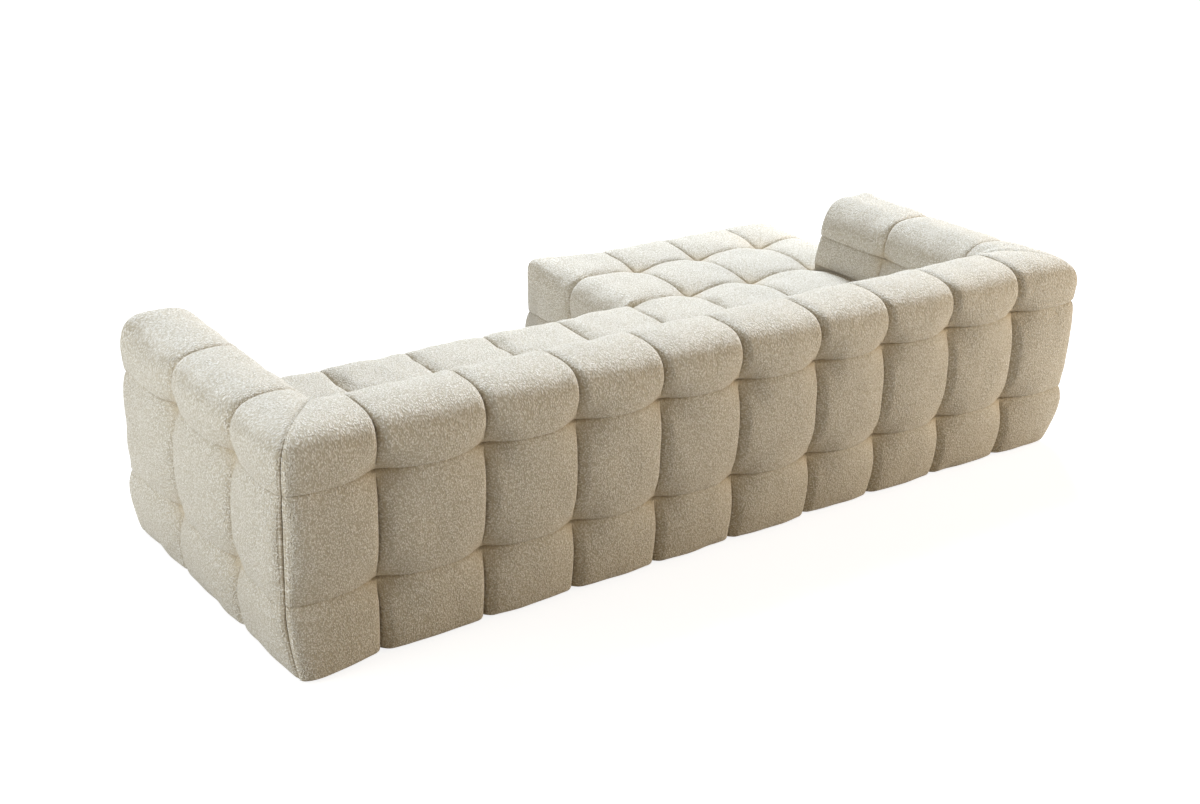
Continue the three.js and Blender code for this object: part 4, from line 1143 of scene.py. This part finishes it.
def pine_material(node):
    """Planed pine: rings that run along the board, a few knots, and planer marks across it."""
    look = bpy.context.scene.frame_look
    nodes = Nodes("pine_" + node)
    knot = nodes.remap(nodes.cells(along_piece(nodes, node, 0.5), 5.0), 0.10, 0.03)
    flow = nodes.noise(along_piece(nodes, node, 0.06), 9.0, 2.0, 0.4)
    rings = nodes.math("SINE", nodes.times(nodes.plus(flow, nodes.times(knot, 0.35)), 95.0))
    rings = nodes.times(nodes.plus(rings, 1.0), 0.5)
    fibre = nodes.noise(along_piece(nodes, node, 0.02), 700.0, 2.0, 0.6)
    planing = nodes.math("SINE", nodes.times(piece_axis(nodes, node, 0), 1250.0))
    wood = nodes.mix(nodes.math("POWER", rings, 2.2), rgba(look.pine_early), rgba(look.pine_late))
    wood = nodes.mix(nodes.times(knot, 0.8), wood, rgba(look.pine_late, 0.45))
    height = nodes.plus(fibre, nodes.times(planing, 0.12))
    nodes.bump(nodes.plus(height, nodes.times(rings, 0.4)), 0.0005)
    return nodes.finish(Base_Color=wood, Roughness=nodes.plus(nodes.times(fibre, 0.2), 0.55))


def plywood_material(node):
    """Birch plywood: one veneer on its faces, alternating plies on its sawn edges."""
    look = bpy.context.scene.frame_look
    nodes = Nodes("plywood_" + node)
    _, order, spans = box_axes(node)
    turns = PLY_PAIRS * 2 * math.pi / spans[order[2]]
    plies = nodes.math("COSINE", nodes.times(piece_axis(nodes, node, 2), turns))
    layers = nodes.remap(plies, -0.25, 0.25)
    grain = nodes.noise(along_piece(nodes, node, 0.05), 160.0, 4.0, 0.65)
    sawing = nodes.noise(along_piece(nodes, node), 1100.0, 2.0, 0.6)
    veneer = nodes.mix(nodes.times(grain, 0.55), rgba(look.birch), rgba(look.glue_line))
    tint = nodes.mix(nodes.times(layers, 0.75), veneer, rgba(look.glue_line))
    nodes.bump(nodes.plus(grain, nodes.times(sawing, 0.8)), 0.0005)
    return nodes.finish(Base_Color=tint, Roughness=nodes.plus(nodes.times(sawing, 0.2), 0.6))


def webbing_material(node):
    """Woven elastic: lengthwise ribs, cross picks, and two marker yarns."""
    look = bpy.context.scene.frame_look
    nodes = Nodes("webbing_" + node)
    across, along = piece_axis(nodes, node, 1), piece_axis(nodes, node, 0)
    ribs = nodes.math("SINE", nodes.times(across, 2 * math.pi / RIB_PITCH))
    stagger = nodes.times(nodes.math("SIGN", ribs), 1.6)
    picks = nodes.math("SINE", nodes.plus(nodes.times(along, 2 * math.pi / PICK_PITCH), stagger))
    weave = nodes.plus(nodes.times(nodes.math("ABSOLUTE", ribs), 0.8), nodes.times(picks, 0.25))
    fuzz = nodes.noise(along_piece(nodes, node), 1800.0, 2.0, 0.6)
    from_marker = nodes.math("SUBTRACT", nodes.math("ABSOLUTE", across), MARKER_PLACE)
    marker = nodes.math("LESS_THAN", nodes.math("ABSOLUTE", from_marker), MARKER_WIDTH / 2)
    cloth = nodes.mix(nodes.times(weave, fuzz), rgba(look.webbing_dark), rgba(look.webbing_dark, 1.9))
    nodes.bump(nodes.plus(weave, nodes.times(fuzz, 0.4)), 0.0007)
    return nodes.finish(
        Base_Color=nodes.mix(marker, cloth, rgba(look.webbing_line)), Roughness=0.8, Sheen_Weight=0.15)


def soft_box(name, power, tint, place, aim, size):
    """Square lamp that stands at a place and faces another."""
    light = bpy.data.lights.new(name, "AREA")
    light.energy = power
    light.color = tint
    light.size = size
    lamp = bpy.data.objects.new(name, light)
    lamp.location = place
    lamp.rotation_mode = "QUATERNION"
    lamp.rotation_quaternion = (Vector(place) - Vector(aim)).to_track_quat("Z", "Y")
    bpy.context.scene.collection.objects.link(lamp)


def studio_lights(look):
    """Key from above the front, panels at the near arm and the far rear, and a sky that is seen as white."""
    soft_box("key", look.key_power, (0.80, 0.89, 1.0), (-5.0, -6.0, 9.0), (0, 0.2, 0.5), 3.6)
    soft_box("side", look.side_power, (0.88, 0.95, 1.0), (5.6, 0.2, 1.9), (1.0, 0.1, 0.45), 2.2)
    soft_box("rear", look.rear_power, (1.0, 0.86, 0.68), (-7.0, 4.0, 2.0), (-0.4, 0.8, 0.4), 2.5)
    world = bpy.data.worlds.new("studio")
    world.use_nodes = True
    bpy.context.scene.world = world
    wiring = Wiring(world.node_tree)
    sky = wiring.tree.nodes["Background"]
    wiring.set(sky.inputs["Color"], (1.0, 0.82, 0.59, 1))
    wiring.set(sky.inputs["Strength"], look.sky_strength)
    white = wiring.add("ShaderNodeBackground", Color=(1, 1, 1, 1)).outputs[0]
    mixed = wiring.fill("ShaderNodeMixShader", wiring.seen(), sky.outputs[0], white)
    wiring.set(wiring.tree.nodes["World Output"].inputs["Surface"], mixed)


def studio_floor(look):
    """Pale floor that the camera sees as white where no shadow falls."""
    corners = box_plan(-FLOOR_REACH, FLOOR_REACH, -FLOOR_REACH, FLOOR_REACH)
    floor = new_object("studio_floor", [(*corner, 0) for corner in corners], [(0, 1, 2, 3)])
    nodes = Nodes("floor")
    nodes.tree.nodes.remove(nodes.shader)
    plain = nodes.add("ShaderNodeBsdfDiffuse", Color=rgba(look.floor_colour)).outputs[0]
    shadow = nodes.add("ShaderNodeBsdfDiffuse", Color=(0.34, 0.34, 0.34, 1)).outputs[0]
    glow = nodes.add("ShaderNodeEmission", Color=(1, 1, 1, 1), Strength=0.84).outputs[0]
    bright = nodes.fill("ShaderNodeAddShader", shadow, glow)
    mixed = nodes.fill("ShaderNodeMixShader", nodes.seen(), plain, bright)
    nodes.set(nodes.tree.nodes["Material Output"].inputs["Surface"], mixed)
    floor.data.materials.append(nodes.material)


def studio_camera(look):
    """Camera at the photograph's viewing angle."""
    aim = Vector(look.camera_aim).normalized()
    level = aim.cross(Vector((0, 0, 1))).normalized()
    upright = level.cross(aim)
    roll = look.camera_roll
    right = math.cos(roll) * level + math.sin(roll) * upright
    up = -math.sin(roll) * level + math.cos(roll) * upright
    data = bpy.data.cameras.new("camera")
    data.sensor_width = 36
    data.lens = look.lens
    camera = bpy.data.objects.new("camera", data)
    turn = Matrix((right, up, -aim)).transposed().to_4x4()
    camera.matrix_world = Matrix.Translation(look.camera_place) @ turn
    bpy.context.scene.collection.objects.link(camera)
    bpy.context.scene.camera = camera


class Tree(Wiring):
    """A Geometry Nodes group with named inputs."""

    def __init__(self, name, inputs):
        super().__init__(bpy.data.node_groups.new(name, "GeometryNodeTree"))
        interface = self.tree.interface
        interface.new_socket("Geometry", in_out="INPUT", socket_type="NodeSocketGeometry")
        self.sockets = {
            label: interface.new_socket(label, in_out="INPUT", socket_type="NodeSocket" + kind)
            for label, kind in inputs.items()}
        interface.new_socket("Geometry", in_out="OUTPUT", socket_type="NodeSocketGeometry")
        self.inputs = self.tree.nodes.new("NodeGroupInput").outputs

    def end(self, instances):
        """Realized geometry with the material of the Material input."""
        real = self.add("GeometryNodeRealizeInstances", Geometry=instances)
        dyed = self.add("GeometryNodeSetMaterial", Geometry=real.outputs[0], Material=self.inputs["Material"])
        self.add("NodeGroupOutput", Geometry=dyed.outputs[0])
        return self

    def run_on(self, made, values):
        """Runs the group on an object and keeps the result as a plain mesh."""
        modifier = made.modifiers.new("repeat", "NODES")
        modifier.node_group = self.tree
        for label, value in values.items():
            modifier[self.sockets[label].identifier] = value
        keep_result(made, modifier)
        return made


@once
def run_tree(name):
    """Slim rounded bars laid end to end along lines: stitches and staples."""
    tree = Tree(name, {"Pitch": "Float", "Size": "Vector", "Material": "Material"})
    line = tree.add("GeometryNodeMeshToCurve", Mesh=tree.inputs["Geometry"])
    spots = tree.add(
        "GeometryNodeCurveToPoints", {"mode": "LENGTH"}, Curve=line.outputs[0], Length=tree.inputs["Pitch"])
    along = tree.add("FunctionNodeAlignRotationToVector", {"axis": "X"}, Vector=spots.outputs["Tangent"])
    ball = tree.add("GeometryNodeMeshIcoSphere", Radius=0.5, Subdivisions=1)
    bar = tree.add("GeometryNodeTransform", Geometry=ball.outputs[0], Scale=tree.inputs["Size"])
    bars = tree.add(
        "GeometryNodeInstanceOnPoints", Points=spots.outputs[0], Instance=bar.outputs[0],
        Rotation=along.outputs[0])
    return tree.end(bars.outputs[0])


@once
def screw_tree(name):
    """Round-headed cross screws on points, facing one way."""
    tree = Tree(name, {
        "Head": "Float", "Rise": "Float", "Plate": "Float", "Facing": "Vector", "Material": "Material"})
    top = tree.times(tree.inputs["Head"], 0.62)
    head = tree.add(
        "GeometryNodeMeshCone", Vertices=24, Radius_Top=top, Radius_Bottom=tree.inputs["Head"],
        Depth=tree.inputs["Rise"])
    crossed = tree.add("GeometryNodeMeshBoolean", {"operation": "DIFFERENCE"}, Mesh_1=head.outputs[0])
    length, width, depth = SCREW_SLOT
    for size in ((length, width, depth), (width, length, depth)):
        slot = tree.add("GeometryNodeMeshCube", Size=size)
        slot = tree.add("GeometryNodeTransform", Geometry=slot.outputs[0], Translation=(0, 0, SLOT_HEIGHT))
        tree.set(crossed.inputs["Mesh 2"], slot.outputs[0])
    shank = tree.add("GeometryNodeMeshCylinder", Vertices=16, Radius=SHANK_RADIUS, Depth=tree.inputs["Plate"])
    sunk = tree.add("ShaderNodeCombineXYZ", Z=tree.times(tree.inputs["Plate"], -0.5))
    stem = tree.add("GeometryNodeTransform", Geometry=shank.outputs[0], Translation=sunk.outputs[0])
    whole = tree.add("GeometryNodeJoinGeometry")
    for part in (crossed, stem):
        tree.set(whole.inputs[0], part.outputs[0])
    turn = tree.add("FunctionNodeAlignRotationToVector", {"axis": "Z"}, Vector=tree.inputs["Facing"])
    screws = tree.add(
        "GeometryNodeInstanceOnPoints", Points=tree.inputs["Geometry"], Instance=whole.outputs[0],
        Rotation=turn.outputs[0])
    return tree.end(screws.outputs[0])


def run_along(name, lines, pitch, size, material):
    """One mesh of bars laid along polylines."""
    starts = np.cumsum([0, *[len(line) for line in lines]])
    edges = [(i, i + 1) for low, high in zip(starts[:-1], starts[1:]) for i in range(low, high - 1)]
    made = new_object(name, np.concatenate(lines), [], edges=edges)
    return run_tree().run_on(made, {"Pitch": pitch, "Size": size, "Material": material})


def finish_fitting(made, module):
    made.data.shade_smooth()
    made.data.set_sharp_from_angle(angle=math.radians(40))
    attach(made, module + "_module")


class SECTIONAL_OT_stage(bpy.types.Operator):
    """Camera, lights and floor"""

    bl_idname = "sectional.stage"
    bl_label = "Stage"

    def execute(self, context):
        scene = context.scene
        scene.view_settings.view_transform = "Standard"
        for part in (studio_lights, studio_floor, studio_camera):
            part(scene.studio_look)
        return {"FINISHED"}


def walls_of(sizes, look, plan):
    """The four walls: their sizes, where they stand in plan, and how their ends are stuffed."""
    arm, back = sizes.arm_thickness, sizes.back_thickness
    backs = {"thickness": back, "other": arm, "open_front": False, "ear": 0.0, "top": (0, 0, 0), "fill": 1.0}
    arms = {"thickness": arm, "other": back, "open_front": True, "inset": look.arm_inset,
            "end_inset": look.arm_inset, "seams": plan.rows[:3], "fill": look.arm_fill}
    near, far = (
        {key: getattr(look, f"{end}_{key}") for key in ("corner_floor", "corner_shift", "corner_inset")}
        for end in ("near", "far"))
    return {
        "sofa_back": SimpleNamespace(
            **backs, **near, seams=plan.sofa_seams, below_end=plan.split + CUT_REACH,
            inset=look.sofa_back_inset, end_inset=look.split_inset, place=lambda a, s: (a, s)),
        "sofa_arm": SimpleNamespace(
            **arms, **near, below_end=plan.sofa_depth - sizes.skirt, ear=look.near_ear, top=look.near_arm_top,
            place=lambda a, s: (s, a)),
        "chaise_back": SimpleNamespace(
            **backs, **far, seams=plan.chaise_seams, below_end=plan.chaise_seams[-1] + CUT_REACH,
            inset=look.chaise_back_inset, end_inset=look.chaise_back_inset,
            place=lambda a, s: (plan.width - a, s)),
        "chaise_arm": SimpleNamespace(
            **arms, **far, below_end=plan.sofa_depth + CUT_REACH, ear=look.far_ear, top=look.far_arm_top,
            place=lambda a, s: (plan.width - s, a)),
    }


class SECTIONAL_OT_walls(bpy.types.Operator):
    """Quilted backs and arms, mitred at both corners"""

    bl_idname = "sectional.walls"
    bl_label = "Backs and arms"

    def execute(self, context):
        scene = context.scene
        sizes, look, fastening = scene.sectional_sizes, scene.quilting_look, scene.fastening_sizes
        plan = plan_of(sizes)
        sewn = {module: [] for module in MODULES}
        for thread, (name, wall) in enumerate(walls_of(sizes, look, plan).items()):
            wall.thread = thread
            module = name.split("_")[0]
            rings, cloth = wall_surface(sizes, look, wall)
            made = wall_cover(name + "_cover", sizes, look, plan, wall, rings, cloth)
            sewn[module].append(stitched_line(rings, wall, sizes, look, fastening, plan))
            for outline, heights in wall_hollows(sizes, wall):
                cut(made, outline, heights, sizes, plan)
            finish_cover(made, module + "_module", [name + "_upholstery"])
        shape = (fastening.stitch_length, fastening.stitch_thread, fastening.stitch_thread)
        for module, lines in sewn.items():
            made = run_along(module + "_stitches", lines, fastening.stitch_pitch, shape, thread_material())
            finish_fitting(made, module)
        return {"FINISHED"}


class SECTIONAL_OT_seats(bpy.types.Operator):
    """Quilted seats of the sofa and the chaise"""

    bl_idname = "sectional.seats"
    bl_label = "Seats"

    def execute(self, context):
        sizes, look = context.scene.sectional_sizes, context.scene.quilting_look
        plan = plan_of(sizes)
        gap = sizes.fit_gap
        rear = sizes.back_thickness + gap
        under = (sizes.hem_height - CUT_BELOW, sizes.deck_height)
        u_seams = [sizes.arm_thickness + gap, *plan.sofa_seams[1:]]
        sofa = seat_block("sofa_seat_cover", sizes, look, plan, u_seams, [rear, *plan.rows[1:3]], None, False)
        bay_end = plan.sofa_depth - sizes.skirt
        bay = box_plan(sizes.arm_thickness - CUT_REACH, plan.split - sizes.liner, rear - CUT_REACH, bay_end)
        cut(sofa, bay, under, sizes, plan)
        cut_recesses(sofa, sizes, plan, plan.split)
        finish_cover(sofa, "sofa_module", ["sofa_seat_upholstery"])
        u_seams = [*(plan.width - plan.chaise_seams)[::-1], plan.width]
        v_seams = [rear, *plan.rows[1:]]
        chaise = seat_block(
            "chaise_seat_cover", sizes, look, plan, u_seams, v_seams, plan.sofa_depth, True)
        arm_inner = plan.width - sizes.arm_thickness - gap
        arm_room = box_plan(arm_inner, plan.width + 2 * CUT_REACH, rear - CUT_REACH, plan.sofa_depth + gap)
        cut(chaise, arm_room, (-CUT_REACH, 2 * sizes.seat_height), sizes, plan)
        bay_end = plan.chaise_depth - sizes.skirt
        bay = box_plan(plan.chaise_start + sizes.liner, plan.width - sizes.skirt, rear - CUT_REACH, bay_end)
        cut(chaise, bay, under, sizes, plan)
        cut_recesses(chaise, sizes, plan, plan.chaise_start)
        finish_cover(chaise, "chaise_module", ["chaise_seat_upholstery"])
        return {"FINISHED"}


class SECTIONAL_OT_frame(bpy.types.Operator):
    """Finishes of the wooden frame, its webbing, glides and connectors"""

    bl_idname = "sectional.frame"
    bl_label = "Frame finishes"

    def execute(self, context):
        makers = {
            "_rib_": plywood_material, "rail": pine_material, "bearer": pine_material,
            "webbing": webbing_material, "_glide_": glide_plastic_material, "keeper": zinc_material,
            "hook": zinc_material,
        }
        for node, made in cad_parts.items():
            for part, maker in makers.items():
                if part in node:
                    finish = maker(node)
                    for slot in made.material_slots:
                        slot.material = finish
        return {"FINISHED"}


def bays(module):
    """Bays between the rails and bearers over a dust cover, along X and along Y."""
    def gap(first, second, axis):
        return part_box(f"{module}_{first}")[1][axis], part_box(f"{module}_{second}")[0][axis]
    behind = gap("seat_rear_rail", "rear_rail", 1)
    if module == "sofa":
        return ([gap("split_side_rail", "centre_bearer", 0), gap("centre_bearer", "arm_side_rail", 0)],
                [gap("front_rail", "seat_rear_rail", 1), behind])
    return ([gap("arm_side_rail", "split_side_rail", 0)],
            [gap("front_rail", "cross_bearer", 1), gap("cross_bearer", "seat_rear_rail", 1), behind])


def hang(value, spans):
    """How freely cloth hangs at each place between fixed spans, from 0 on a rail to 1 in a wide bay."""
    total = np.zeros_like(value)
    for low, high in spans:
        share_across = np.clip((value - low) / (high - low), 0, 1)
        total += np.sin(np.pi * share_across) ** 0.8 * min(1, (high - low) / WIDE_BAY)
    return total


def sides_of(corners):
    """Start, direction and length of each side of an outline in plan."""
    for i, start in enumerate(corners):
        step = np.array(corners[(i + 1) % len(corners)]) - np.array(start)
        reach = np.linalg.norm(step)
        yield np.array(start), step / reach, reach


def notched_outline(low, high, holes, radius):
    """Outline of a dust cover in plan, with a notch wherever a glide's shank crosses its edge."""
    def inside(point):
        return low.x - 1e-9 <= point[0] <= high.x + 1e-9 and low.y - 1e-9 <= point[1] <= high.y + 1e-9
    outline = []
    for start, ahead, _ in sides_of(box_plan(low.x, high.x, low.y, high.y)):
        aside = np.array([-ahead[1], ahead[0]])
        outline.append(start)
        notches = [(float((hole - start) @ ahead), float((hole - start) @ aside)) for hole in holes]
        for middle, depth in sorted(notch for notch in notches if abs(notch[1]) < radius):
            half = math.sqrt(radius ** 2 - depth ** 2)
            turn = math.atan2(-depth, half)
            for angle in np.linspace(math.pi - turn, turn, 17):
                outline.append(start + ahead * (middle + radius * math.cos(angle))
                               + aside * (depth + radius * math.sin(angle)))
    return np.array([point for point in outline if inside(point)])


def dust_sheet(module, fastening):
    """Dust cover that hangs a little between the rails it is stapled to."""
    low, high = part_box(module + "_dust_cover")
    glides = [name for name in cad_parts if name.startswith(module + "_glide_")]
    holes = [np.array(((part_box(name)[0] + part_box(name)[1]) / 2)[:2]) for name in glides]
    outline = notched_outline(low, high, holes, fastening.glide_hole)
    places, _, triangles = crowned_end(outline, 0.0, SHEET_GRID)
    across, deep = bays(module)
    sag = fastening.cover_sag * hang(places[:, 0], across) * hang(places[:, 1], deep)
    ripple = 0.0004 * np.sin(places[:, 0] * 2 * np.pi / fastening.staple_pitch)
    ripple = ripple * np.exp(-(places[:, 1] - low.y) / 0.05)
    ripple = ripple + 0.0002 * np.sin(places @ np.array([37.0, 53.0]))
    top = high.z - SHEET_SINK - sag + ripple * (sag > 1e-5)
    count = len(places)
    vertices = np.concatenate([
        np.column_stack([places, top]), np.column_stack([places, top - fastening.cover_gauge])])
    edges = [(triangle[i], triangle[(i + 1) % 3]) for triangle in triangles for i in range(3)]
    shared = set(edges)
    faces = [tuple(triangle) for triangle in triangles]
    faces += [tuple(count + k for k in reversed(triangle)) for triangle in triangles]
    faces += [(b, a, a + count, b + count) for a, b in edges if (b, a) not in shared]
    made = new_object(module + "_dust_sheet", vertices, faces)
    turn_outward(made)
    made.data.materials.append(dust_cloth_material())
    made.data.shade_smooth()
    made.data.set_sharp_from_angle(angle=math.radians(50))
    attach(made, module + "_module")
    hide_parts(module + "_dust_cover")
    area = sum(abs(np.cross(places[b] - places[a], places[c] - places[a])) for a, b, c in triangles) / 2
    return holes


def staple_lines(module, holes, fastening):
    """Lines of staples under a dust cover, broken where a glide stands."""
    low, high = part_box(module + "_dust_cover")
    inset, z = fastening.staple_inset, low.z + 0.0001
    clear = GLIDE_RADIUS + fastening.staple_crown
    lines = []
    corners = box_plan(low.x + inset, high.x - inset, low.y + inset, high.y - inset)
    for start, ahead, reach in sides_of(corners):
        stops = [(STAPLE_END, STAPLE_END), (reach - STAPLE_END, reach)]
        for hole in holes:
            away = hole - start
            if abs(away[0] * ahead[1] - away[1] * ahead[0]) < clear:
                stops.append((away @ ahead - clear, away @ ahead + clear))
        stops.sort()
        for (_, begin), (finish, _) in zip(stops[:-1], stops[1:]):
            if finish - begin > fastening.staple_pitch:
                lines.append(np.array([[*(start + ahead * begin), z], [*(start + ahead * finish), z]]))
    return lines


class SECTIONAL_OT_underside(bpy.types.Operator):
    """Dust covers and their staples"""

    bl_idname = "sectional.underside"
    bl_label = "Dust covers"

    def execute(self, context):
        fastening = context.scene.fastening_sizes
        shape = (fastening.staple_crown, fastening.staple_wire, fastening.staple_wire)
        for module in MODULES:
            holes = dust_sheet(module, fastening)
            lines = staple_lines(module, holes, fastening)
            made = run_along(module + "_staples", lines, fastening.staple_pitch, shape, zinc_material())
            finish_fitting(made, module)
        return {"FINISHED"}


class SECTIONAL_OT_screws(bpy.types.Operator):
    """Screws through the steel connectors"""

    bl_idname = "sectional.screws"
    bl_label = "Connector screws"

    def execute(self, context):
        fastening = context.scene.fastening_sizes
        for module, part, facing in (("sofa", "keeper", -1), ("chaise", "hook", 1)):
            spots = []
            for end in ("rear", "front"):
                low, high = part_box(f"{module}_{end}_{part}")
                middle = (low.y + high.y) / 2
                if part == "keeper":
                    aside, z = KEEPER_HOLE, (low.z + high.z) / 2
                    x = high.x - fastening.plate
                else:
                    aside, z = (high.y - low.y) / 4, low.z + (high.z - low.z) / 4
                    x = low.x + fastening.plate
                spots += [(x, middle - aside, z), (x, middle + aside, z)]
            made = new_object(module + "_screws", spots, [])
            screw_tree().run_on(made, {
                "Head": fastening.screw_head, "Rise": fastening.screw_rise, "Plate": fastening.plate,
                "Facing": (facing, 0, 0), "Material": zinc_material()})
            finish_fitting(made, module)
        return {"FINISHED"}


class SECTIONAL_PT_panel(bpy.types.Panel):
    """Buttons for every group of pieces"""

    bl_idname = "SECTIONAL_PT_panel"
    bl_label = "Sectional sofa"
    bl_space_type = "VIEW_3D"
    bl_region_type = "UI"
    bl_category = "Sectional"

    def draw(self, context):
        for operator in OPERATORS:
            self.layout.operator(operator.bl_idname)


GROUPS = {
    "sectional_sizes": SectionalSizes,
    "quilting_look": QuiltingLook,
    "boucle_look": BoucleLook,
    "frame_look": FrameLook,
    "fastening_sizes": FasteningSizes,
    "studio_look": StudioLook,
}
OPERATORS = (
    SECTIONAL_OT_stage, SECTIONAL_OT_frame, SECTIONAL_OT_walls, SECTIONAL_OT_seats, SECTIONAL_OT_underside,
    SECTIONAL_OT_screws)


def register():
    for group in (*GROUPS.values(), *OPERATORS, SECTIONAL_PT_panel):
        bpy.utils.register_class(group)
    for name, group in GROUPS.items():
        setattr(bpy.types.Scene, name, PointerProperty(type=group))


def unregister():
    for name in GROUPS:
        delattr(bpy.types.Scene, name)
    for group in (SECTIONAL_PT_panel, *reversed(OPERATORS), *GROUPS.values()):
        bpy.utils.unregister_class(group)


def main():
    """Dresses the frame."""
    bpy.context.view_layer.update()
    register()
    for operator in OPERATORS:
        group, name = operator.bl_idname.split(".")
        getattr(getattr(bpy.ops, group), name)()


if __name__ == "__main__":
    main()
